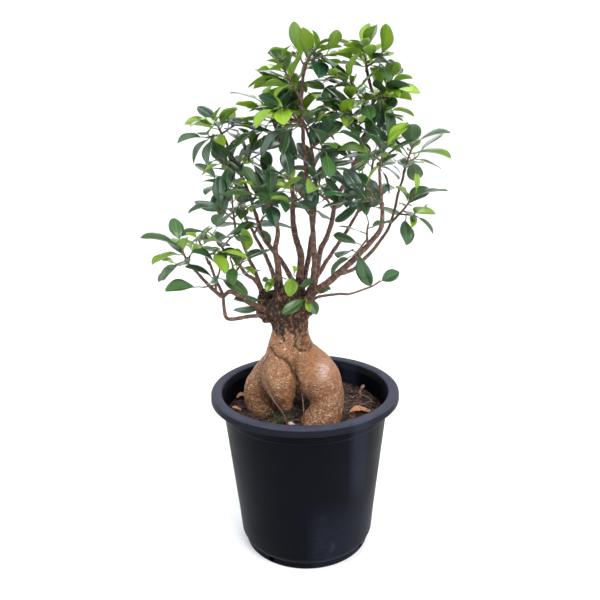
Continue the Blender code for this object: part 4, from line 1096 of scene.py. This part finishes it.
def limb_mesh(work, row, sides):
    """Add a rounded limb through a row of balls to a mesh in the making."""
    fine = smooth_route(row, 4.0)
    points, faces = [], []
    add_tube(points, faces, fine, [ball[3] for ball in fine], sides)
    corners = [work.verts.new(point * MM) for point in points]
    for face in faces:
        work.faces.new([corners[i] for i in face])
    for ball in (fine[0], fine[-1]):
        made = bmesh.ops.create_icosphere(work, subdivisions=4, radius=float(ball[3]) * MM)
        bmesh.ops.translate(work, vec=Vector(ball[:3]) * MM, verts=made["verts"])


def distance_to_line(point, line):
    """Shortest distance from a point to a line of points, all of two numbers."""
    point = Vector(point)
    best = 1e9
    for a, b in zip(line, line[1:]):
        start, run = Vector(a), Vector(b) - Vector(a)
        share = min(max((point - start).dot(run) / run.length_squared, 0.0), 1.0)
        best = min(best, (point - start - run * share).length)
    return best


def bell(distance, width):
    """One at no distance, and falling smoothly to zero."""
    return math.exp(-((distance / width) ** 2))


def root_relief(place):
    """How far the bark stands out at a place, in millimetres, and how much painted shade it gets as a
    crevice, 0 to 1.
    """
    x, y, z = place
    out = 0.55 * noise.noise(place * 0.05) + 0.35 * noise.noise(place * 0.16)
    ring = noise.noise(Vector((x * 0.05, y * 0.05, z * 0.42)))
    out += 0.36 * ring * min(max((212.0 - z) / 30.0, 0.25), 1.0)
    crevice = 0.0
    burr = min(max((z - BURR_HEIGHT - 2.0 + 9.0 * noise.noise(place * 0.11)) / 12.0, 0.0), 1.0)
    if burr > 0.0:
        flaky = noise.turbulence(Vector((x * 0.16, y * 0.16, z * 0.10)), 4, True)
        out += burr * (2.6 * flaky - 1.3)
    if y > FRONT:
        return out, crevice
    rough = noise.noise(place * 0.75)
    from_scar = math.hypot(x - SCAR[0], (z - SCAR[1]) * 1.15) * (1.0 + 0.22 * noise.noise(place * 0.3))
    if from_scar < SCAR_RADIUS * 2.2:
        inside = bell(from_scar, SCAR_RADIUS * 0.6)
        out += 1.7 * bell(from_scar - SCAR_RADIUS, 1.6) - 1.4 * inside + rough * bell(from_scar, SCAR_RADIUS)
        ring = bell(from_scar - SCAR_RADIUS - 1.6, 1.3) * (0.95 + 1.0 * noise.noise(place * 0.45))
        crevice = max(1.1 * inside * (0.75 + 1.8 * rough), ring)
    from_crease = distance_to_line((x, z), CREASE)
    if from_crease < 8.0:
        out -= 1.7 * bell(from_crease, 1.7)
        crevice = max(crevice, 0.9 * bell(from_crease, 1.3))
    return out, min(max(crevice, 0.0), 1.0)


class BONSAI_OT_root_base(bpy.types.Operator):
    """Grow the neck, the legs and the burr together and give them their bark"""

    bl_idname = "bonsai.root_base"
    bl_label = "Root base"

    def execute(self, context):
        settings = context.scene.bonsai_root
        work = bmesh.new()
        for row in ROOT_ROWS:
            limb_mesh(work, row, 40)
        for row in STUB_ROWS:
            limb_mesh(work, row, 20)
        for x, y, z, radius in BURR_KNOBS:
            made = bmesh.ops.create_icosphere(work, subdivisions=3, radius=radius * MM)
            bmesh.ops.translate(work, vec=Vector((x, y, z)) * MM, verts=made["verts"])
        wood = built("root_wood", work)
        grown = wood.modifiers.new("grown_together", "REMESH")
        grown.mode = "VOXEL"
        grown.voxel_size = settings.voxel
        worn = wood.modifiers.new("worn_smooth", "SMOOTH")
        worn.factor = 0.5
        worn.iterations = 14
        settled(wood)
        self.carve(wood.data)
        finish_piece(wood, [root_bark(settings)], ["root_base"])
        self.thin_roots()
        return {"FINISHED"}

    def carve(self, mesh):
        """Move every point along its normal by the bark's relief, and store the painted crevice shade at each
        point.
        """
        crevice_shades = mesh.attributes.new("crevice", "FLOAT", "POINT")
        normals = [vertex.normal.copy() for vertex in mesh.vertices]
        for vertex, normal, crevice in zip(mesh.vertices, normals, crevice_shades.data):
            out, crevice.value = root_relief(vertex.co / MM)
            vertex.co += normal * out * MM

    def thin_roots(self):
        """The aerial root down the middle leg, and the pale one in the gap beside it."""
        draw = random.Random(3)
        for name, points_of_route, radius, low, high, nodes in THIN_ROOTS:
            points, faces = [], []
            route = smooth_route(points_of_route, 1.5)
            add_tube(points, faces, route, [radius * draw.uniform(0.8, 1.15) for _ in route], 8)
            add_piece(name, points, faces, [speckled(name, low, high, 2.0, 0.6)], nodes)


# --- Stems ---


def stem_bark(settings):
    """Reddish-brown bark, furrowed along the stem, with pale rings and pores."""
    finish = Finish("stem_bark", Roughness=0.65)
    broad = finish.cloud(finish.place(), 9.0)
    furrow = finish.cloud(finish.place(1.0, 1.0, 0.25), 1.3, 4.0, 0.6)
    pores = finish.cloud(finish.place(), 0.9, 2.0).between(0.60, 0.70)
    ring = finish.attribute("ring")
    colour = finish.blend(furrow.between(0.36, 0.62), settings.shade, settings.bark)
    colour = finish.blend((broad - 0.45).between(0.0, 0.3) * 0.45, colour, settings.ring)
    colour = finish.blend(ring * 0.55 + pores * 0.35, colour, settings.ring)
    return finish.finish(colour, 0.52 + 0.3 * broad, furrow + 0.5 * pores + 0.5 * ring, 0.0004)


def add_stem(points, faces, rings, route, start, end, sides, spacing):
    """Add one stem that tapers, wanders a little and swells at its leaf scars."""
    fine = smooth_route(route, 1.5)
    travelled = 0.0
    radii = []
    for i, place in enumerate(fine):
        if i:
            travelled += float(np.linalg.norm(place - fine[i - 1]))
        share = i / (len(fine) - 1)
        scar = math.exp(-(((travelled % spacing) - spacing / 2) / 0.9) ** 2)
        lump = noise.noise(Vector(place) * 0.22)
        radii.append((start + (end - start) * share) * (1.0 + 0.16 * scar + 0.14 * lump))
        rings += [scar] * sides
    wandering = [Vector(place) + 0.5 * noise.noise_vector(Vector(place) * 0.1) for place in fine]
    add_tube(points, faces, wandering, radii, sides)


class BONSAI_OT_stems(bpy.types.Operator):
    """Grow every stem, with the twigs of the shoots that it carries"""

    bl_idname = "bonsai.stems"
    bl_label = "Stems and twigs"

    def execute(self, context):
        settings = context.scene.bonsai_stems
        # Without a seed, the vector noise that the stems wander by would start from the clock.
        noise.seed_set(STEM_SEED)
        bark = stem_bark(settings)
        spacing = settings.spacing / MM
        for name, foot, end, route in STEMS:
            points, faces, rings = [], [], []
            add_stem(points, faces, rings, route, foot, end, 10, spacing)
            for _, stem, _, twigs in SHOOTS:
                if stem != name:
                    continue
                for i, (_, twig) in enumerate(twigs):
                    sizes = FORKED_TWIG if i else FIRST_TWIG
                    add_stem(points, faces, rings, twig, *sizes, 7, spacing * 0.6)
            item = add_piece(name + "_bark", points, faces, [bark], [name])
            item.data.attributes.new("ring", "FLOAT", "POINT").data.foreach_set("value", rings)
        return {"FINISHED"}


# --- Leaves ---


def leaf_surface(settings):
    """Glossy green blade: pale midrib, faint side veins, dull paler back, and yellow-green when it is new."""
    finish = Finish("leaf", Roughness=0.34, IOR=1.45, Coat_Weight=0.55, Coat_Roughness=0.12)
    along = finish.attribute("along")
    across = finish.attribute("across")
    tone = finish.attribute("tone")
    fresh = finish.attribute("fresh")
    back = finish.attribute("back")
    mottle = finish.cloud(finish.place(), 3.5)
    mature = finish.blend((tone + (mottle - 0.5) * 0.6).between(0.15, 1.0), settings.mature, settings.lighter)
    colour = finish.blend(fresh, mature, settings.young)
    vein = finish.node("Math", {"operation": "SINE"}, {0: (along * 9.0 - abs(across) * 2.6) * math.tau})
    veins = vein.between(0.78, 1.0)
    rib = abs(across).smooth(0.02, 0.085, 1.0, 0.0)
    pale = finish.blend(fresh, (0.10, 0.24, 0.06), (0.42, 0.60, 0.10))
    colour = finish.blend(rib * 0.62 + veins * 0.10, colour, pale)
    colour = finish.blend(back * 0.75, colour, finish.blend(fresh, settings.under, settings.young))
    roughness = 0.30 + 0.14 * mottle + 0.22 * back
    bump = 0.35 * mottle - 0.8 * rib - 0.35 * veins
    finish.let_light_through(LEAF_GLOW, GLOW_SHARE)
    return finish.finish(colour, roughness, bump, 0.0003)


def blade_outline(share):
    """Half of a leaf's width at a share of its length, for a width of one: widest past the middle."""
    return 0.5 * math.sin(math.pi * share**1.2) ** 0.62


class Leaf:
    """Where one leaf sits and how it bends. The blade runs on from the petiole, which starts at the foot."""

    def __init__(self, foot, along, up, length, width, sag, fresh):
        self.foot = foot
        self.along = along.normalized()
        self.side = self.along.cross(up).normalized()
        self.up = self.side.cross(self.along)
        self.length = length
        self.width = width
        self.sag = sag
        self.fresh = fresh
        self.petiole = length * PETIOLE_SHARE

    def spine(self, share):
        """A point on the midrib; a share below zero is on the petiole."""
        run = self.petiole + self.length * share if share > 0 else self.petiole * (1 + share)
        return self.foot + self.along * run - self.up * (self.sag * run * run / (self.petiole + self.length))

    def heading(self, share):
        """The midrib's direction at a share of the blade's length."""
        run = self.petiole + self.length * share
        return (self.along - self.up * (2 * self.sag * run / (self.petiole + self.length))).normalized()


def packed_leaves(node):
    """The leaves of one packed shoot, each read from its tip and the three corners of its widest section."""
    work = bmesh.new()
    work.from_mesh(node.data)
    bmesh.ops.remove_doubles(work, verts=work.verts, dist=0.002 * MM)
    leaves = []
    for tip in work.verts:
        near = [edge.other_vert(tip) for edge in tip.link_edges]
        if len(near) != 3 or min(edge.calc_length() for edge in tip.link_edges) < 4.0 * MM:
            continue
        keel = min(near, key=lambda corner: sum((corner.co - other.co).length for other in near))
        left, right = [corner for corner in near if corner is not keel]
        middle = (left.co + right.co) / 2 / MM
        up = middle - keel.co / MM
        if not 0.8 * LEAF_KEEL < up.length < 1.25 * LEAF_KEEL:
            continue
        up.normalize()
        side = (right.co - left.co).normalized()
        along = up.cross(side)
        reach = tip.co / MM - middle
        if along.dot(reach) < 0:
            along.negate()
        length = SHORTER * along.dot(reach) / (1.0 - WIDEST)
        total = length * (1.0 + PETIOLE_SHARE)
        run = length * (PETIOLE_SHARE + WIDEST)
        sag = -up.dot(reach) / (total - run * run / total)
        width = (right.co - left.co).length / MM / (2 * WIDEST_HALF)
        foot = middle - along * run + up * (sag * run * run / total)
        leaves.append(Leaf(foot, along, up, length, width, sag, 0.0))
    work.free()
    return leaves


def extra_leaves(twigs, fresh, share, taken, stems, draw):
    """More leaves along a shoot's twigs, where there is still room between the others."""
    leaves = []
    for count, twig in twigs:
        route = smooth_route(twig, 2.0)
        turn = draw.uniform(0, math.tau)
        for i in range(round(count * share * MOST_EXTRA)):
            part = draw.uniform(0.12, 1.0)
            spot = part * (len(route) - 1)
            low = min(int(spot), len(route) - 2)
            foot = Vector(route[low]).lerp(Vector(route[low + 1]), spot - low)
            ahead = Vector(route[low + 1] - route[low]).normalized()
            radial = Matrix.Rotation(turn + i * GOLDEN_ANGLE, 3, ahead) @ ahead.orthogonal().normalized()
            if draw.random() > THIN_BELOW + (foot.z - LOW_CROWN) / CROWN_FILL:
                continue
            lean = math.radians(78 - 38 * part) + draw.uniform(-0.2, 0.3)
            direction = ahead * math.cos(lean) + radial * math.sin(lean) + Vector((0, 0, 0.18))
            face = ahead * 0.35 + Vector((0, 0, 1.2)) + radial * draw.uniform(-0.35, 0.35)
            young = part > 0.7 and draw.random() < fresh
            length = draw.uniform(*(YOUNG_LENGTH if young else LEAF_LENGTH))
            leaf = Leaf(foot, direction, face, length, length * draw.uniform(*LEAF_WIDTH_RATIO),
                        draw.uniform(0.05, 0.4), 0.0)
            centre = leaf.spine(0.5)
            room = (ROOM_AT_TOP if foot.z > TOP_OF_CROWN else ROOM_LOW) * (length + 22.0)
            if any((centre - other).length < room for other in taken):
                continue
            tip = leaf.spine(1.0)
            if (tip - CROWN_MIDDLE).length > (Vector(route[-1][:3]) - CROWN_MIDDLE).length + PAST_TWIG:
                continue
            if not inside_box(tip) or not clear_of_stems(leaf, stems) or hides_leader(leaf):
                continue
            taken.append(centre)
            leaves.append(leaf)
    return leaves


def inside_box(point, spare=6.0):
    """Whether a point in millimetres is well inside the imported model's box."""
    low, high = CAD_BOX
    return all(low[i] / MM + spare < point[i] < high[i] / MM - spare for i in range(3))


def hides_leader(leaf):
    """Whether a leaf hangs in front of the leader stem."""
    for share in (0.1, 0.4, 0.7, 1.0):
        spot = leaf.spine(share)
        near = min(STEMS[0][3], key=lambda point: abs(point[2] - spot.z))
        if spot.y < near[1] and abs(spot.x - near[0]) < LEADER_GAP:
            return True
    return False


def tree_of_stems():
    """Where the middles of all stems are, to be searched by place."""
    spots = [spot for _, _, _, route in STEMS for spot in smooth_route(route, 4.0)]
    tree = KDTree(len(spots))
    for i, spot in enumerate(spots):
        tree.insert(spot[:3], i)
    tree.balance()
    return tree


def clear_of_stems(leaf, stems):
    """Whether a leaf's blade keeps away from the middle of every stem."""
    return all(stems.find(leaf.spine(share))[2] > STEM_GAP for share in (0.15, 0.4, 0.65, 0.9))


def nearest_on(routes, place):
    """The point on any of the routes that is nearest to a place."""
    spots = [Vector(spot[:3]) for route in routes for spot in route]
    return min(spots, key=lambda spot: (spot - place).length)


class Foliage:
    """Points, faces and surface values of the leaves of one shoot."""

    def __init__(self, thickness):
        self.points = []
        self.faces = []
        self.values = {"along": [], "across": [], "tone": [], "fresh": [], "back": []}
        self.thickness = thickness

    def mark(self, count, **values):
        """Give the last points that were added their surface values."""
        for name, value in values.items():
            self.values[name] += [value] * count

    def add_petiole(self, leaf, start, tone):
        """A thin stalk from the twig to the blade."""
        joint = leaf.spine(0.03)
        bends = [start.lerp(joint, 0.35) + leaf.up * 0.5, start.lerp(joint, 0.7) + leaf.up * 0.4]
        route = smooth_route([start, *bends, joint], 2.0)
        before = len(self.points)
        add_tube(self.points, self.faces, route, [0.30 + 0.010 * leaf.length] * len(route), 5)
        count = len(self.points) - before
        self.mark(count, along=0.0, across=0.0, tone=tone, fresh=leaf.fresh * 0.6, back=0.5)

    def add_blade(self, leaf, tone, draw):
        """One blade: a closed, thin, folded and wavy body."""
        fold = draw.uniform(*FOLD) + YOUNG_FOLD * (leaf.fresh > 0.5)
        curl = draw.uniform(*CURL)
        wave = draw.uniform(*WAVE)
        phase = draw.uniform(0, math.tau)
        twist = draw.uniform(*TWIST)
        grid = {}
        for layer in (1, -1):
            for i, share in enumerate(STATIONS):
                ahead = leaf.heading(share)
                up = leaf.side.cross(ahead).normalized()
                turned = Matrix.Rotation(twist * share, 3, ahead)
                side, up = turned @ leaf.side, turned @ up
                half = FULLNESS * leaf.width * blade_outline(share)
                middle = leaf.spine(share)
                for k, across in enumerate(COLUMNS):
                    if layer < 0 and abs(across) == 1.0:
                        grid[layer, i, k] = grid[1, i, k]
                        continue
                    wide = abs(across) * half
                    lift = wide * math.sin(fold) - curl * wide * wide / leaf.width * 2.0
                    lift += wave * across**2 * math.sin(share * 9.0 + phase + across)
                    thick = self.thickness * (1.0 - across**4) * math.sin(math.pi * share) ** 0.3
                    lift += layer * thick / 2
                    spot = middle + side * (across * half * math.cos(fold)) + up * lift
                    grid[layer, i, k] = len(self.points)
                    self.points.append(spot)
                    back = float(layer < 0)
                    self.mark(1, along=share, across=across, tone=tone, fresh=leaf.fresh, back=back)
        base = len(self.points)
        tip = base + 1
        drawn_out = leaf.heading(1.0) * leaf.length * draw.uniform(*DRAWN_OUT_TIP)
        self.points += [leaf.spine(0.001), leaf.spine(1.0) + drawn_out]
        self.mark(1, along=0.0, across=0.0, tone=tone, fresh=leaf.fresh, back=0.5)
        self.mark(1, along=1.0, across=0.0, tone=tone, fresh=leaf.fresh, back=0.0)
        last = len(STATIONS) - 1
        for layer in (1, -1):
            for k in range(len(COLUMNS) - 1):
                strip = [(base, grid[layer, 0, k + 1], grid[layer, 0, k])]
                for i in range(last):
                    near, far = (layer, i), (layer, i + 1)
                    strip.append((grid[*near, k], grid[*near, k + 1], grid[*far, k + 1], grid[*far, k]))
                strip.append((grid[layer, last, k], grid[layer, last, k + 1], tip))
                self.faces += strip if layer < 0 else [tuple(reversed(face)) for face in strip]

    def piece(self, name, material, nodes):
        """The leaves gathered so far, as one piece."""
        item = add_piece(name, self.points, self.faces, [material], nodes)
        for value_name, values in self.values.items():
            item.data.attributes.new(value_name, "FLOAT", "POINT").data.foreach_set("value", values)
        return item


class BONSAI_OT_leaves(bpy.types.Operator):
    """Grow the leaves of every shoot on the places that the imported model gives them, and fill the crown"""

    bl_idname = "bonsai.leaves"
    bl_label = "Leaves"

    def execute(self, context):
        settings = context.scene.bonsai_leaves
        surface = leaf_surface(settings)
        draw = random.Random(21)
        stems = tree_of_stems()
        packed = {name: packed_leaves(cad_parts[name]) for name, _, _, _ in SHOOTS}
        taken = [leaf.spine(0.5) for leaves in packed.values() for leaf in leaves]
        total = 0
        for name, _, fresh, twigs in SHOOTS:
            routes = [smooth_route(twig, 1.5) for _, twig in twigs]
            leaves = packed[name] + extra_leaves(twigs, fresh, settings.infill, taken, stems, draw)
            foliage = Foliage(settings.thickness / MM)
            for leaf in leaves:
                self.grow(foliage, leaf, nearest_on(routes, leaf.foot), fresh, draw)
            foliage.piece(name + "_leaves", surface, [name])
            total += len(leaves)
        total += self.single_leaves(surface, settings, draw)
        print("leaves:", total, "of which packed:", sum(len(leaves) for leaves in packed.values()))
        return {"FINISHED"}

    def grow(self, foliage, leaf, start, fresh, draw):
        """Settle a leaf's age and tone and add it."""
        if leaf.length < YOUNG_UNDER:
            leaf.fresh = draw.uniform(0.6, 1.0)
        elif draw.random() < fresh * 0.55 + TOP_FRESH * (leaf.foot.z > TOP_OF_CROWN):
            leaf.fresh = draw.uniform(0.45, 1.0)
        else:
            leaf.fresh = draw.uniform(0.0, 0.14)
        if leaf.along.z < HANGING:
            leaf.fresh = min(leaf.fresh, 0.1)
        tone = draw.random() ** 1.4
        foliage.add_petiole(leaf, start, tone)
        foliage.add_blade(leaf, tone, draw)

    def single_leaves(self, surface, settings, draw):
        """The leaves that sprout from the burr, and the lone one at the end of the low right twig."""
        foliage = Foliage(settings.thickness / MM)
        for foot, tip, face, width, fresh in SPROUTS:
            reach = Vector(tip) - Vector(foot)
            length = reach.length / (1 + PETIOLE_SHARE)
            leaf = Leaf(Vector(foot), reach, Vector(face), length, width, 0.08, fresh)
            foliage.add_petiole(leaf, leaf.foot, 0.6)
            foliage.add_blade(leaf, 0.6, draw)
        foliage.piece("burr_sprouts", surface, [])
        end = Foliage(settings.thickness / MM)
        leaf = Leaf(END_LEAF_FOOT, END_LEAF_AHEAD, END_LEAF_FACE, *END_LEAF_SIZE, 0.0, 0.05)
        leaf.petiole = END_PETIOLE
        end.add_petiole(leaf, leaf.foot, 0.9)
        end.add_blade(leaf, 0.9, draw)
        end.piece("low_right_leaf", surface, [])
        return len(SPROUTS) + 1


# --- Stage ---


class BONSAI_OT_stage(bpy.types.Operator):
    """Set the pale floor, the soft light and the camera"""

    bl_idname = "bonsai.stage"
    bl_label = "Stage"

    def execute(self, context):
        settings = context.scene.bonsai_stage
        self.floor(context, settings)
        for name, place, size, power, colour in LIGHTS:
            self.light(context, name, place, size, getattr(settings, power), colour)
        world = bpy.data.worlds.new("even_sky")
        world.use_nodes = True
        sky = world.node_tree.nodes["Background"]
        sky.inputs["Color"].default_value = (0.97, 0.985, 1.0, 1.0)
        sky.inputs["Strength"].default_value = settings.sky
        context.scene.world = world
        context.scene.view_settings.view_transform = "Standard"
        self.camera(context)
        return {"FINISHED"}

    def floor(self, context, settings):
        """A pale round floor that curves up into its own backdrop."""
        steps, spokes = 12, 96
        line = [(reach, 0.0) for reach in (0.25, 0.6, 0.9, 1.1, FLOOR_REACH)]
        for i in range(1, steps + 1):
            angle = math.radians(90 * i / steps)
            line.append((FLOOR_REACH + FLOOR_BEND * math.sin(angle), FLOOR_BEND * (1 - math.cos(angle))))
        line.append((FLOOR_REACH + FLOOR_BEND, WALL_TOP))
        mesh = bpy.data.meshes.new("floor")
        turns = [math.tau * k / spokes for k in range(spokes)]
        points = [(radius * math.cos(turn), radius * math.sin(turn), height)
                  for radius, height in line for turn in turns]
        faces = [tuple(range(spokes)), *ring_faces(0, len(line) - 1, spokes, inward=True)]
        mesh.from_pydata(points, [], faces)
        mesh.shade_smooth()
        floor = bpy.data.objects.new("floor", mesh)
        context.scene.collection.objects.link(floor)
        paint = Finish("floor_paint", Roughness=0.9, Specular_IOR_Level=0.1)
        grain = paint.cloud(paint.place(), 60.0)
        mesh.materials.append(paint.finish(paint.blend(grain, settings.floor, shade(settings.floor, 1.015))))

    def light(self, context, name, place, size, power, colour):
        """A soft square light that faces the middle of the tree."""
        data = bpy.data.lights.new(name, "AREA")
        data.size = size
        data.energy = power
        data.color = colour
        lamp = bpy.data.objects.new(name, data)
        lamp.location = place
        lamp.rotation_euler = (LIT_PLACE - Vector(place)).to_track_quat("-Z", "Y").to_euler()
        lamp.visible_camera = False
        context.scene.collection.objects.link(lamp)

    def camera(self, context):
        """The camera in front of the pot, looking a little down."""
        pitch, yaw, roll = (math.radians(angle) for angle in (CAMERA_PITCH, CAMERA_YAW, CAMERA_ROLL))
        ahead = Vector((math.sin(yaw) * math.cos(pitch), math.cos(yaw) * math.cos(pitch), -math.sin(pitch)))
        right = Vector((math.cos(yaw), -math.sin(yaw), 0))
        up = right.cross(ahead)
        across = right * math.cos(roll) + up * math.sin(roll)
        upward = up * math.cos(roll) - right * math.sin(roll)
        data = bpy.data.cameras.new("camera")
        data.lens = LENS
        data.sensor_width = SENSOR
        data.clip_start = 0.01
        camera = bpy.data.objects.new("camera", data)
        camera.matrix_world = Matrix((across, upward, -ahead)).transposed().to_4x4()
        camera.location = CAMERA_PLACE * MM
        context.scene.collection.objects.link(camera)
        context.scene.camera = camera


class BONSAI_PT_panel(bpy.types.Panel):
    """The steps that make the potted bonsai, in order"""

    bl_idname = "BONSAI_PT_panel"
    bl_label = "Potted bonsai"
    bl_space_type = "VIEW_3D"
    bl_region_type = "UI"
    bl_category = "Bonsai"

    def draw(self, context):
        for operator, group, names in STEPS:
            box = self.layout.box()
            box.operator(operator)
            for name in names:
                box.prop(getattr(context.scene, group), name)


STEPS = [
    ("bonsai.pot", "bonsai_pot", ("plastic", "rim", "dust_and_sheen_colour", "sides")),
    ("bonsai.soil", "bonsai_soil", ("dark", "pale", "moss", "crumbs", "fibres")),
    ("bonsai.fallen_leaves", "bonsai_soil", ("dry",)),
    ("bonsai.root_base", "bonsai_root", ("voxel", "tan", "rust", "fleck", "burr")),
    ("bonsai.stems", "bonsai_stems", ("bark", "shade", "ring", "spacing")),
    ("bonsai.leaves", "bonsai_leaves", ("mature", "lighter", "young", "under", "infill", "thickness")),
    ("bonsai.stage", "bonsai_stage", ("floor", "sky", "key", "fill")),
]
GROUPS = {
    "bonsai_pot": BonsaiPot, "bonsai_soil": BonsaiSoil, "bonsai_root": BonsaiRoot,
    "bonsai_stems": BonsaiStems, "bonsai_leaves": BonsaiLeaves, "bonsai_stage": BonsaiStage,
}
CLASSES = [
    *GROUPS.values(), BONSAI_OT_pot, BONSAI_OT_soil, BONSAI_OT_fallen_leaves, BONSAI_OT_root_base,
    BONSAI_OT_stems, BONSAI_OT_leaves, BONSAI_OT_stage, BONSAI_PT_panel,
]


def register():
    for item in CLASSES:
        bpy.utils.register_class(item)
    for name, group in GROUPS.items():
        setattr(bpy.types.Scene, name, bpy.props.PointerProperty(type=group))


def unregister():
    for name in GROUPS:
        delattr(bpy.types.Scene, name)
    for item in reversed(CLASSES):
        bpy.utils.unregister_class(item)


def main():
    register()
    for operator, _, _ in STEPS:
        group, name = operator.split(".")
        getattr(getattr(bpy.ops, group), name)()


if __name__ == "__main__":
    main()
